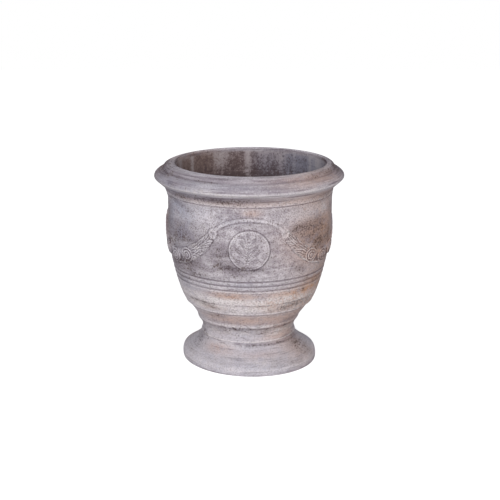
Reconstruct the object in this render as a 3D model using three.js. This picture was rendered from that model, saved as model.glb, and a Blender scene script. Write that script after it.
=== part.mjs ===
// Footed garden urn of limewashed terracotta, with garlands and medallions applied on the wall.
// Millimetres, +Z up, origin on the ground at the centre of the foot, front towards -Y.
// Thrown pieces are turned from outlines of [radius, height] points. Sprigs are drawn on flat clay,
// with x along the wall, y up and z out, and are then pressed onto the wall.
import * as THREE from 'three';
import { mergeVertices } from 'three/addons/utils/BufferGeometryUtils.js';

// Overall sizes
const HEIGHT = 482;
const BOWL_RADIUS = 196;
const FOOT_RADIUS = 163.4;
const FOOT_HEIGHT = 101;

// Clay joints: the pieces are luted together with slip, so each keeps this much room
const JOINT_GAP = 0.3;
const SPRIG_GAP = 0.35;

// Rim: a lip round the mouth, a notch outside it, and a full nose that overhangs the wall
const RIM_HEIGHT = 56;
const RIM_OVERHANG = 29.6;
const RIM_SEAT = 6;
const MOUTH_DRAFT = 2;
const LIP_ROUND = [2.5, 5];
const LIP_HANDLE = [9, 0];
const LIP_FOOT_HANDLE = [-1.5, 7];
const NOTCH_OVERHANG = 8.5;
const NOTCH_DROP = 11.5;
const BROW_HANDLE = [10, -6];
const NOSE_DROP = 31.5;
const NOSE_HANDLE = [0, 8.5];
const CHIN_HANDLE = [0, -6];
const RIM_SEAT_HANDLE = [5, 8];

// Bowl, from the neck under the rim down to the base on the foot
const NECK_HEIGHT = 9;
const NECK_WALL = 18;
const NECK_HANDLE = [2.2, 4];
const STRAIGHT_HEIGHT = 96.7;
const BELLY_HANDLE = [0, -44];
const TUCK_HANDLE = [16, 6];
const RIDGE_RADIUS = 150.5;
const RIDGE_RISE = 45.2;
const RIDGE_STEP = 1.8;
const UNDERCUT_HANDLE = [7, 14];
const BASE_RADIUS = 124.5;
const BASE_BAND = 8;

// Inside of the bowl
const WALL = 22;
const FLOOR = 27;
const DRAIN_RADIUS = 14;
const FLOOR_FLAT_RADIUS = 54;
const FLOOR_CORNER = 14;
const INSIDE_ROUND = 100;

// Incised rings, below the garlands
const GROOVE_WIDTH = 3.2;
const GROOVE_DEPTH = 1.3;
const GROOVE_DROP = 25.3;
const GROOVE_PITCH = 11.7;
const GROOVE_COUNT = 3;

// Foot: seat under the bowl, waist, collar, flare, standing edge and the hollow beneath
const SEAT_RADIUS = 121.7;
const WAIST_RADIUS = 111.3;
const WAIST_DROP = 23;
const STEM_HANDLE = [1.5, 13];
const COLLAR_RADIUS = 114.6;
const COLLAR_DROP = 12.5;
const COLLAR_HANDLE = [-1.5, 4];
const CREASE = [-0.6, -2];
const FLARE_HANDLE = [6, -11.2];
const SPREAD_HANDLE = [-38.5, 23.9];
const EDGE_BEVEL = 2.8;
const EDGE_HEIGHT = 22;
const EDGE_HANDLE = [2.2, 11];
const FOOT_WALL = 22;
const STANDING_WIDTH = 22.4;
const HOLLOW_HANDLE = [-12, 20];
const HOLLOW_TOP_HANDLE = [0, -30];

// Bays round the bowl, each with a medallion under a ribbon, and a garland between two bays
const BAYS = 3;
const KNOT_ANGLE = THREE.MathUtils.degToRad(24.6);
const RIBBON_DROP = 31;
const KNOT_DROP = 35.8;
const MEDALLION_DROP = 71.6;
const SWAG_SAG = 70.3;

// Knots: loops of ribbon, taller than wide and narrower at the bottom
const KNOT_RADIUS = 11;
const KNOT_HOLE_RADIUS = 5;
const KNOT_RELIEF = 5;
const KNOT_STRETCH = 1.35;
const KNOT_TAPER = 0.2;
const KNOT_CLEARANCE = 1.2;

// Garlands: a smooth band above, overlapping leaves along the middle and a hem below
const SWAG_HALF_WIDTH = 18.4;
const SWAG_END_HALF_WIDTH = 8;
const SWAG_RELIEF = 4.6;
const SWAG_EDGE_RELIEF = 1.4;
const FIELD_RELIEF = 2.4;
const LEAF_RELIEF = 4.4;
const LEAF_STEP = 1.5;
const LEAF_POINT = 3;
const LEAVES_PER_SIDE = 7;
const MIDDLE_GAP = 6;
const BAND_SHARE = 0.84;
const FIELD_TOP_SHARE = 0.5;
const UPPER_RIB_SHARE = 0.2;
const VALLEY_SHARE = -0.12;
const LOWER_RIB_SHARE = -0.42;
const FIELD_BOTTOM_SHARE = -0.7;
const HEM_SHARE = -0.86;

// Rosettes: buttons with a raised ring and a raised middle
const ROSETTE_RADIUS = 17.6;
const ROSETTE_RELIEF = 4.4;
const ROSETTE_EDGE = 1.2;
const ROSETTE_RING_SHARE = 0.8;
const ROSETTE_GROOVE_SHARE = 0.55;
const ROSETTE_MIDDLE_SHARE = 0.3;
const ROSETTE_PITCH = 48;
const ROSETTES_PER_SWAG = 3;

// Medallions: a disc with a raised border
const MEDALLION_RADIUS = 47.3;
const MEDALLION_RELIEF = 4;
const MEDALLION_EDGE = 2.4;
const BORDER_WIDTH = 6.4;
const BORDER_BEVEL = 1.8;

// Ribbon that arches over each medallion
const RIBBON_RISE = 51.5;
const RIBBON_WIDTH = 9.4;
const RIBBON_RELIEF = 3.6;
const RIBBON_EDGE = 1.2;
const RIBBON_FLAT_SHARE = 0.6;

// Fineness of the faceted surfaces
const TURNS = 48;
const BUTTON_TURNS = 12;
const MEDALLION_TURNS = 24;
const RIM_STEPS = 4;
const BELLY_STEPS = 11;
const WALL_SAMPLES = 200;
const RIBBON_STEPS = 16;
const TANGENT_STEP = 0.001;
const MERGE_DISTANCE = 1e-4;

const CLAY = 0xb8a9a6;
const SLIP = 0xab9c9c;

// Heights that follow from the sizes above, from the mouth down and from the ground up
const joinHeight = HEIGHT - RIM_HEIGHT;
const bowlTop = joinHeight - JOINT_GAP;
const neckHeight = bowlTop - NECK_HEIGHT;
const bellyHeight = neckHeight - STRAIGHT_HEIGHT;
const ribbonCrown = neckHeight - RIBBON_DROP;
const knotHeight = ribbonCrown - KNOT_DROP;
const medallionHeight = ribbonCrown - MEDALLION_DROP;
const swagHeight = knotHeight - SWAG_SAG;
const bowlBase = FOOT_HEIGHT + JOINT_GAP;
const ridgeHeight = bowlBase + RIDGE_RISE;

// Radii that pieces share where they meet
const neckTop = BOWL_RADIUS + RIM_SEAT;
const neckInner = BOWL_RADIUS - NECK_WALL;

function solid(name, geometry, color) {
  geometry.deleteAttribute('normal');
  geometry.deleteAttribute('uv');
  const merged = mergeVertices(geometry, MERGE_DISTANCE);
  merged.computeVertexNormals();
  const clay = new THREE.MeshStandardMaterial({ color, roughness: 0.95, metalness: 0 });
  const mesh = new THREE.Mesh(merged, clay);
  mesh.name = name;
  return mesh;
}

const point = ([radius, height]) => new THREE.Vector2(radius, height);

// The control point that a curve leans towards as it leaves or reaches an outline point
const handle = ([radius, height], [out, up]) => [radius + out, height + up];

// A Bezier curve of degree two or three through its control points
function bend(...corners) {
  const places = corners.map(point);
  return places.length === 4
    ? new THREE.CubicBezierCurve(...places)
    : new THREE.QuadraticBezierCurve(...places);
}

// Revolves a closed outline about +Z
function turned(outline, turns = TURNS) {
  const loop = [...outline, outline[0].clone()];
  return new THREE.LatheGeometry(loop, turns).rotateX(Math.PI / 2);
}

// The bowl's outer wall, from the belly down to the ridge
const bellyTop = [BOWL_RADIUS, bellyHeight];
const ridge = [RIDGE_RADIUS, ridgeHeight];
const belly = bend(bellyTop, handle(bellyTop, BELLY_HANDLE), handle(ridge, TUCK_HANDLE), ridge);
const wallPoints = belly.getPoints(WALL_SAMPLES);

function wallRadius(height) {
  if (height >= bellyHeight) return BOWL_RADIUS;
  const below = wallPoints.findIndex((sample) => sample.y <= height);
  if (below < 1) return RIDGE_RADIUS;
  const upper = wallPoints[below - 1];
  const lower = wallPoints[below];
  return THREE.MathUtils.mapLinear(height, upper.y, lower.y, upper.x, lower.x);
}

// Three points that cut a groove into the wall at one height
function groove(height) {
  const half = GROOVE_WIDTH / 2;
  return [
    point([wallRadius(height + half), height + half]),
    point([wallRadius(height) - GROOVE_DEPTH, height]),
    point([wallRadius(height - half), height - half]),
  ];
}

// The wall with its rings, which run down from under the garlands and stop above the ridge
function wallOutline() {
  const firstRing = swagHeight - SWAG_HALF_WIDTH - GROOVE_DROP;
  const rings = [];
  for (let i = 0; i < GROOVE_COUNT; i += 1) {
    const height = firstRing - i * GROOVE_PITCH;
    if (height > ridgeHeight + GROOVE_PITCH) rings.push(height);
  }
  const clearOfRings = (sample) => rings.every((h) => Math.abs(h - sample.y) > GROOVE_WIDTH);
  const plain = belly.getPoints(BELLY_STEPS).filter(clearOfRings);
  return [...plain, ...rings.flatMap(groove)].sort((a, b) => b.y - a.y);
}

function bowlInside() {
  const floorHeight = bowlBase + FLOOR;
  const innerRadius = BOWL_RADIUS - WALL;
  const round = bend(
    [FLOOR_FLAT_RADIUS, floorHeight],
    [innerRadius - FLOOR_CORNER, floorHeight],
    [innerRadius, floorHeight + INSIDE_ROUND],
    [innerRadius, bellyHeight],
  );
  return [point([DRAIN_RADIUS, floorHeight]), ...round.getPoints(6), point([neckInner, bowlTop])];
}

function bowl() {
  const neckFoot = [BOWL_RADIUS, neckHeight];
  const neck = bend([neckTop, bowlTop], handle(neckFoot, NECK_HANDLE), neckFoot);
  const lip = [RIDGE_RADIUS - RIDGE_STEP, ridgeHeight - RIDGE_STEP];
  const band = [BASE_RADIUS, bowlBase + BASE_BAND];
  const undercut = bend(lip, handle(band, UNDERCUT_HANDLE), band);
  const outline = [
    ...neck.getPoints(4),
    ...groove(neckHeight - GROOVE_WIDTH),
    ...wallOutline(),
    ...undercut.getPoints(3),
    point([SEAT_RADIUS, bowlBase]),
    point([DRAIN_RADIUS, bowlBase]),
    ...bowlInside(),
  ];
  return solid('bowl', turned(outline.reverse()), CLAY);
}

function rim() {
  const mouthRadius = neckInner + MOUTH_DRAFT;
  const [lipWidth, lipHeight] = LIP_ROUND;
  const mouth = [mouthRadius, HEIGHT - lipHeight];
  const crest = [mouthRadius + lipWidth, HEIGHT];
  const notch = [BOWL_RADIUS + NOTCH_OVERHANG, HEIGHT - NOTCH_DROP];
  const nose = [BOWL_RADIUS + RIM_OVERHANG, HEIGHT - NOSE_DROP];
  const seat = [neckTop, joinHeight];
  const lip = bend(crest, handle(crest, LIP_HANDLE), handle(notch, LIP_FOOT_HANDLE), notch);
  const brow = bend(notch, handle(notch, BROW_HANDLE), handle(nose, NOSE_HANDLE), nose);
  const chin = bend(nose, handle(nose, CHIN_HANDLE), handle(seat, RIM_SEAT_HANDLE), seat);
  const outline = [
    point([neckInner, joinHeight]),
    ...bend(mouth, [mouthRadius, HEIGHT], crest).getPoints(2),
    ...lip.getPoints(RIM_STEPS).slice(1),
    ...brow.getPoints(RIM_STEPS).slice(1),
    ...chin.getPoints(RIM_STEPS + 1).slice(1),
  ];
  return solid('rim', turned(outline.reverse()), CLAY);
}

function foot() {
  const seat = [SEAT_RADIUS, FOOT_HEIGHT];
  const waist = [WAIST_RADIUS, FOOT_HEIGHT - WAIST_DROP];
  const collar = [COLLAR_RADIUS, waist[1] - COLLAR_DROP];
  const crease = handle(collar, CREASE);
  const edgeTop = [FOOT_RADIUS - EDGE_BEVEL, EDGE_HEIGHT];
  const edgeFoot = [FOOT_RADIUS - 1, 0];
  const hollowEdge = [FOOT_RADIUS - STANDING_WIDTH, 0];
  const hollowTop = [WAIST_RADIUS - FOOT_WALL, waist[1]];
  const stem = bend(seat, handle(waist, STEM_HANDLE), waist);
  const cuff = bend(waist, handle(collar, COLLAR_HANDLE), collar);
  const flare = bend(crease, handle(crease, FLARE_HANDLE), handle(edgeTop, SPREAD_HANDLE), edgeTop);
  const edge = bend(edgeTop, handle(edgeFoot, EDGE_HANDLE), edgeFoot);
  const hollow = bend(
    hollowEdge,
    handle(hollowEdge, HOLLOW_HANDLE),
    handle(hollowTop, HOLLOW_TOP_HANDLE),
    hollowTop,
  );
  const outline = [
    ...stem.getPoints(5),
    ...cuff.getPoints(2).slice(1),
    ...flare.getPoints(8),
    ...edge.getPoints(3).slice(1),
    ...hollow.getPoints(3),
    point([hollowTop[0], FOOT_HEIGHT]),
  ];
  return solid('foot', turned(outline.reverse()), CLAY);
}

// Presses a flat sprig onto the bowl at one bearing and height
function pressOn(geometry, bearing, height) {
  const position = geometry.getAttribute('position');
  const around = wallRadius(height);
  for (let i = 0; i < position.count; i += 1) {
    const h = height + position.getY(i);
    const angle = bearing + position.getX(i) / around;
    const r = wallRadius(h) + SPRIG_GAP + position.getZ(i);
    position.setXYZ(i, r * Math.sin(angle), -r * Math.cos(angle), h);
  }
  return geometry;
}

// A round sprig, turned about its own axis from [radius, relief] points
function button(points, turns) {
  return new THREE.LatheGeometry(points.map(point), turns).rotateX(Math.PI / 2);
}

// Skins a row of sections, each a ring of points, and closes both ends
function loft(sections) {
  const size = sections[0].length;
  const index = [];
  for (let i = 0; i + 1 < sections.length; i += 1) {
    for (let j = 0; j < size; j += 1) {
      const a = i * size + j;
      const b = i * size + ((j + 1) % size);
      index.push(a, b, a + size, b, b + size, a + size);
    }
  }
  const last = (sections.length - 1) * size;
  for (let j = 1; j + 1 < size; j += 1) {
    index.push(0, j + 1, j);
    index.push(last, last + j, last + j + 1);
  }
  const geometry = new THREE.BufferGeometry().setFromPoints(sections.flat());
  geometry.setIndex(index);
  return geometry;
}

// Sweeps relief sections along a path on the flat clay. A section's points are [across, relief] or
// [across, relief, lead]: across goes from -1, right of the path's run, to 1, left of it, and lead
// is how far the point reaches ahead of its section
function strip(path, stations) {
  return loft(stations.map(({ at, halfWidth, section }) => {
    const middle = path(at);
    const run = path(at + TANGENT_STEP).sub(path(at - TANGENT_STEP)).normalize();
    return section.map(([across, relief, lead = 0]) => new THREE.Vector3(
      middle.x - run.y * across * halfWidth + run.x * lead,
      middle.y + run.x * across * halfWidth + run.y * lead,
      relief,
    ));
  }));
}

// Half the span between two knots, measured along the wall at the garland's lowest point
const knotSpan = (Math.PI / BAYS - KNOT_ANGLE) * wallRadius(swagHeight);

// A garland hangs as a chain does: the chain's parameter is found from its span and its sag
function chainParameter() {
  let low = knotSpan / 10;
  let high = knotSpan * 10;
  for (let i = 0; i < 60; i += 1) {
    const middle = (low + high) / 2;
    const sag = middle * (Math.cosh(knotSpan / middle) - 1);
    if (sag > SWAG_SAG) low = middle;
    else high = middle;
  }
  return (low + high) / 2;
}
const chain = chainParameter();

// The point on the garland's centre line at a distance along it from its lowest point
function swagPoint(distance) {
  const x = chain * Math.asinh(distance / chain);
  return new THREE.Vector2(x, chain * (Math.cosh(x / chain) - 1));
}

const knotReach = KNOT_RADIUS * KNOT_STRETCH + KNOT_CLEARANCE;
const swagReach = chain * Math.sinh(knotSpan / chain) - knotReach;
const bayAngle = (2 * Math.PI) / BAYS;

// Across the garland from its upper edge to its lower one, through the ribs of two rows of leaves
function swagSection(leafRelief, lead) {
  return [
    [1, 0],
    [1, SWAG_EDGE_RELIEF],
    [BAND_SHARE, SWAG_RELIEF],
    [FIELD_TOP_SHARE, FIELD_RELIEF],
    [UPPER_RIB_SHARE, leafRelief, lead],
    [VALLEY_SHARE, FIELD_RELIEF],
    [LOWER_RIB_SHARE, leafRelief, lead],
    [FIELD_BOTTOM_SHARE, FIELD_RELIEF],
    [HEM_SHARE, SWAG_RELIEF],
    [-1, SWAG_EDGE_RELIEF],
    [-1, 0],
    [-1 / 3, 0],
    [1 / 3, 0],
  ];
}

function swagStation(at, leafRelief, lead) {
  const out = Math.abs(at) / swagReach;
  const halfWidth = THREE.MathUtils.lerp(SWAG_HALF_WIDTH, SWAG_END_HALF_WIDTH, out ** 3);
  return { at, halfWidth, section: swagSection(leafRelief, lead) };
}

// Leaves run from a knot to the middle, and each rises from its root to a tip over the next root.
// The side is -1 for the leaves before the middle of the path and 1 for those after it
function leaves(side) {
  const leafLength = (swagReach - MIDDLE_GAP) / LEAVES_PER_SIDE;
  const stations = [];
  for (let i = 0; i < LEAVES_PER_SIDE; i += 1) {
    const root = swagReach - i * leafLength;
    const tip = root - leafLength + LEAF_STEP;
    stations.push(swagStation(side * root, FIELD_RELIEF, 0));
    stations.push(swagStation(side * tip, LEAF_RELIEF, -side * LEAF_POINT));
  }
  return stations;
}

function swag(number) {
  const flat = strip(swagPoint, [...leaves(-1), ...leaves(1).reverse()]);
  const bearing = (number - 0.5) * bayAngle;
  return solid(`swag_${number}`, pressOn(flat, bearing, swagHeight), SLIP);
}

function rosette(number, bearing, step) {
  const grooveRelief = ROSETTE_RELIEF * ROSETTE_GROOVE_SHARE;
  const flat = button([
    [0, 0],
    [ROSETTE_RADIUS, 0],
    [ROSETTE_RADIUS, ROSETTE_EDGE],
    [ROSETTE_RADIUS * ROSETTE_RING_SHARE, ROSETTE_RELIEF],
    [ROSETTE_RADIUS * ROSETTE_GROOVE_SHARE, grooveRelief],
    [ROSETTE_RADIUS * ROSETTE_MIDDLE_SHARE, ROSETTE_RELIEF],
    [0, ROSETTE_RELIEF],
  ], BUTTON_TURNS);
  const centre = swagPoint(step * ROSETTE_PITCH);
  flat.translate(centre.x, centre.y, SWAG_RELIEF + SPRIG_GAP);
  return solid(`rosette_${number}`, pressOn(flat, bearing, swagHeight), SLIP);
}

function knot(number, bearing) {
  const crown = (KNOT_HOLE_RADIUS + KNOT_RADIUS) / 2;
  const flat = turned([
    point([KNOT_HOLE_RADIUS, 0]),
    point([KNOT_RADIUS, 0]),
    point([KNOT_RADIUS, KNOT_RELIEF / 2]),
    point([crown, KNOT_RELIEF]),
    point([KNOT_HOLE_RADIUS, KNOT_RELIEF / 2]),
  ], BUTTON_TURNS);
  const position = flat.getAttribute('position');
  for (let i = 0; i < position.count; i += 1) {
    const y = position.getY(i);
    position.setX(i, position.getX(i) * (1 + KNOT_TAPER * (y / KNOT_RADIUS)));
    position.setY(i, y * KNOT_STRETCH);
  }
  return solid(`knot_${number}`, pressOn(flat, bearing, knotHeight), SLIP);
}

function medallion(number) {
  const borderInner = MEDALLION_RADIUS - BORDER_WIDTH;
  const flat = button([
    [0, 0],
    [MEDALLION_RADIUS / 3, 0],
    [MEDALLION_RADIUS * 2 / 3, 0],
    [MEDALLION_RADIUS, 0],
    [MEDALLION_RADIUS, MEDALLION_EDGE],
    [MEDALLION_RADIUS - BORDER_BEVEL, MEDALLION_RELIEF],
    [borderInner + BORDER_BEVEL, MEDALLION_RELIEF],
    [borderInner, MEDALLION_EDGE],
    [borderInner / 2, (MEDALLION_EDGE + MEDALLION_RELIEF) / 2],
    [0, (MEDALLION_EDGE + MEDALLION_RELIEF) / 2],
  ], MEDALLION_TURNS);
  const bearing = (number - 1) * bayAngle;
  return solid(`medallion_${number}`, pressOn(flat, bearing, medallionHeight), SLIP);
}

// The ribbon follows the upper part of an ellipse through both knots, and stops short of them
function ribbon(number) {
  const centre = ribbonCrown - RIBBON_RISE;
  const endSine = (knotHeight - centre) / RIBBON_RISE;
  const halfSpan = (KNOT_ANGLE * wallRadius(knotHeight)) / Math.sqrt(1 - endSine ** 2);
  const endAngle = Math.asin(endSine) + knotReach / RIBBON_RISE;
  const path = (angle) => new THREE.Vector2(halfSpan * Math.cos(angle), RIBBON_RISE * Math.sin(angle));
  const section = [
    [1, 0],
    [1, RIBBON_EDGE],
    [RIBBON_FLAT_SHARE, RIBBON_RELIEF],
    [-RIBBON_FLAT_SHARE, RIBBON_RELIEF],
    [-1, RIBBON_EDGE],
    [-1, 0],
  ];
  const stations = [];
  for (let i = 0; i <= RIBBON_STEPS; i += 1) {
    const at = THREE.MathUtils.lerp(endAngle, Math.PI - endAngle, i / RIBBON_STEPS);
    stations.push({ at, halfWidth: RIBBON_WIDTH / 2, section });
  }
  const bearing = (number - 1) * bayAngle;
  return solid(`arch_ribbon_${number}`, pressOn(strip(path, stations), bearing, centre), SLIP);
}

const urn = new THREE.Group();
urn.add(foot(), bowl(), rim());
for (let bay = 1; bay <= BAYS; bay += 1) {
  const front = (bay - 1) * bayAngle;
  urn.add(medallion(bay), ribbon(bay), swag(bay));
  urn.add(knot(2 * bay - 1, front - KNOT_ANGLE), knot(2 * bay, front + KNOT_ANGLE));
  for (let i = 0; i < ROSETTES_PER_SWAG; i += 1) {
    const number = (bay - 1) * ROSETTES_PER_SWAG + i + 1;
    urn.add(rosette(number, front + bayAngle / 2, i - (ROSETTES_PER_SWAG - 1) / 2));
  }
}

export default urn;
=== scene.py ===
# %% [markdown]
# A garden urn of limewashed terracotta
#
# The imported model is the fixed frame: every piece below is made in metres in that frame, stands
# for one of its nodes and rides on the single body of the urn.

# %% Load the frame
import math
from types import SimpleNamespace

import bmesh
import bpy
import numpy as np
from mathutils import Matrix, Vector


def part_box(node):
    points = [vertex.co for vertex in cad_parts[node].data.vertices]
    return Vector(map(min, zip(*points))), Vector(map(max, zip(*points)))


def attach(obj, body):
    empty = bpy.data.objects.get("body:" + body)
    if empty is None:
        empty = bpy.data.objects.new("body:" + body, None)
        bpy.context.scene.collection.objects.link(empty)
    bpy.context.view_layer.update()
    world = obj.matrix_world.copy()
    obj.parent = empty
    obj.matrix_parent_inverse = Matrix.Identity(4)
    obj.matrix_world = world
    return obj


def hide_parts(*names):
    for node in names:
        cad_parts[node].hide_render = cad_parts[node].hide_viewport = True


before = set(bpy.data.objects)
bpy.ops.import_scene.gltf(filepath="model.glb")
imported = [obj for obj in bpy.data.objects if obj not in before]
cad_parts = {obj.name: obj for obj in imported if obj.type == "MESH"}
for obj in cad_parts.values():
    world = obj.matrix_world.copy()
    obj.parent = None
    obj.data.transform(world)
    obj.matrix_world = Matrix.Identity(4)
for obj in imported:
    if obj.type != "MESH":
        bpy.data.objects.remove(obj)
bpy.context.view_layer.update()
MM = 0.001
scene = bpy.context.scene
print("nodes in the frame:", len(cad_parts))

# %% [markdown]
# Colours are written as the hex values that a paint chart would give. Blender's shaders work in
# linear light, so one function turns each value into it. A second helper adds a node, sets it up
# and links it, which keeps the materials and the geometry trees short to read.

# %% Colour and node helpers
SMOOTH = {"interpolation_type": "SMOOTHSTEP"}
COLOURS = {"data_type": "RGBA"}


def linear(hex_colour):
    parts = [int(hex_colour[i:i + 2], 16) / 255 for i in (1, 3, 5)]
    lit = [c / 12.92 if c <= 0.04045 else ((c + 0.055) / 1.055) ** 2.4 for c in parts]
    return (*lit, 1.0)


def add_node(tree, kind, settings=None, inputs=None):
    """An input is given a value, a socket or a node, and a node stands for its first output."""
    node = tree.nodes.new(kind)
    for name, value in (settings or {}).items():
        setattr(node, name, value)
    for key, value in (inputs or {}).items():
        if isinstance(value, bpy.types.Node):
            value = value.outputs[0]
        if isinstance(value, bpy.types.NodeSocket):
            tree.links.new(value, node.inputs[key])
        else:
            node.inputs[key].default_value = value
    return node


print("the clay's orange in linear light:", [round(c, 3) for c in linear("#C2906F")[:3]])

# %% [markdown]
# The photograph looks down on the urn a little, from almost three metres away, as the shape of
# its rings shows. The camera isn't tilted sideways, and its lens comes from the urn's size in the
# picture.

# %% Camera
CAMERA_PLACE = (0.002, -2.7, 1.0096)
CAMERA_PITCH = math.radians(15.46)
FOCAL_PIXELS = 1155.7
FRAME_PIXELS = 500
SENSOR_MM = 36

camera_data = bpy.data.cameras.new("camera")
camera_data.sensor_width = SENSOR_MM
camera_data.lens = FOCAL_PIXELS / FRAME_PIXELS * SENSOR_MM
camera = bpy.data.objects.new("camera", camera_data)
camera.location = CAMERA_PLACE
camera.rotation_euler = (math.pi / 2 - CAMERA_PITCH, 0, 0)
scene.collection.objects.link(camera)
scene.camera = camera
print("lens, mm:", round(camera_data.lens, 2))

# %% [markdown]
# The light is a studio's: one large soft lamp before the urn, a weak one above it, and a grey sky
# that is brightest in front and above, so that the sides of the urn fall off to a dark edge. The
# backdrop is white only to the eye of the camera, so that it adds no light of its own to the clay.

# %% Sky, lamps and floor
scene.view_settings.view_transform = "Standard"
SKY_LEVEL = 0.64
SKY_BACK = 0.1
SKY_FROM = (0.0, -0.8, 0.6)
FRONT_WATTS = 63
TOP_WATTS = 2

world = bpy.data.worlds.new("studio")
scene.world = world
world.use_nodes = True
sky = world.node_tree
sky.nodes.clear()
ray = add_node(sky, "ShaderNodeLightPath")
seen = ray.outputs["Is Camera Ray"]
for kind in ("Is Glossy Ray", "Is Transmission Ray"):
    seen = add_node(sky, "ShaderNodeMath", {"operation": "MAXIMUM"}, {0: seen, 1: ray.outputs[kind]})
direction = add_node(sky, "ShaderNodeTexCoord").outputs["Generated"]
facing = add_node(sky, "ShaderNodeVectorMath", {"operation": "DOT_PRODUCT"}, {0: direction, 1: SKY_FROM})
level = add_node(
    sky, "ShaderNodeMapRange", SMOOTH,
    {
        "Value": facing.outputs["Value"], "From Min": -0.7, "From Max": 0.9,
        "To Min": SKY_BACK, "To Max": SKY_LEVEL,
    },
)
lit = add_node(sky, "ShaderNodeBackground", None, {"Color": linear("#F4F4F8"), "Strength": level})
white = add_node(sky, "ShaderNodeBackground", None, {"Color": (1, 1, 1, 1), "Strength": 1.0})
both = add_node(sky, "ShaderNodeMixShader", None, {0: seen, 1: lit, 2: white})
add_node(sky, "ShaderNodeOutputWorld", None, {0: both})


def area_lamp(name, place, size, watts, colour):
    lamp_data = bpy.data.lights.new(name, "AREA")
    lamp_data.shape = "RECTANGLE"
    lamp_data.size, lamp_data.size_y = size
    lamp_data.energy = watts
    lamp_data.color = linear(colour)[:3]
    lamp = bpy.data.objects.new(name, lamp_data)
    lamp.location = place
    aim = np.array([0, 0, 0.25]) - np.array(place)
    tip = math.acos(-aim[2] / np.linalg.norm(aim))
    lamp.rotation_euler = (tip, 0, math.atan2(aim[0], -aim[1]) + math.pi)
    scene.collection.objects.link(lamp)


area_lamp("front_softbox", (-0.36, -3.3, 1.3), (1.9, 1.65), FRONT_WATTS, "#FFFCF8")
area_lamp("top_softbox", (0.2, -0.3, 2.3), (1.6, 1.6), TOP_WATTS, "#FFFFFF")

FLOOR_HALF = 6.0
floor_mesh = bpy.data.meshes.new("studio_floor")
corners = [(x * FLOOR_HALF, y * FLOOR_HALF, -0.0003) for x, y in ((-1, -1), (1, -1), (1, 1), (-1, 1))]
floor_mesh.from_pydata(corners, [], [(0, 1, 2, 3)])
floor = bpy.data.objects.new("studio_floor", floor_mesh)
scene.collection.objects.link(floor)
paper = bpy.data.materials.new("white_paper_floor")
paper.use_nodes = True
tree = paper.node_tree
tree.nodes.clear()
ray = add_node(tree, "ShaderNodeLightPath")
matt = add_node(tree, "ShaderNodeBsdfDiffuse", None, {"Color": (0.8, 0.8, 0.8, 1)})
glow = add_node(tree, "ShaderNodeEmission", None, {"Color": (1, 1, 1, 1), "Strength": 0.75})
total = add_node(tree, "ShaderNodeAddShader", None, {0: matt, 1: glow})
pick = add_node(tree, "ShaderNodeMixShader", None, {0: ray.outputs["Is Camera Ray"], 1: matt, 2: total})
add_node(tree, "ShaderNodeOutputMaterial", None, {0: pick})
floor_mesh.materials.append(paper)
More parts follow.
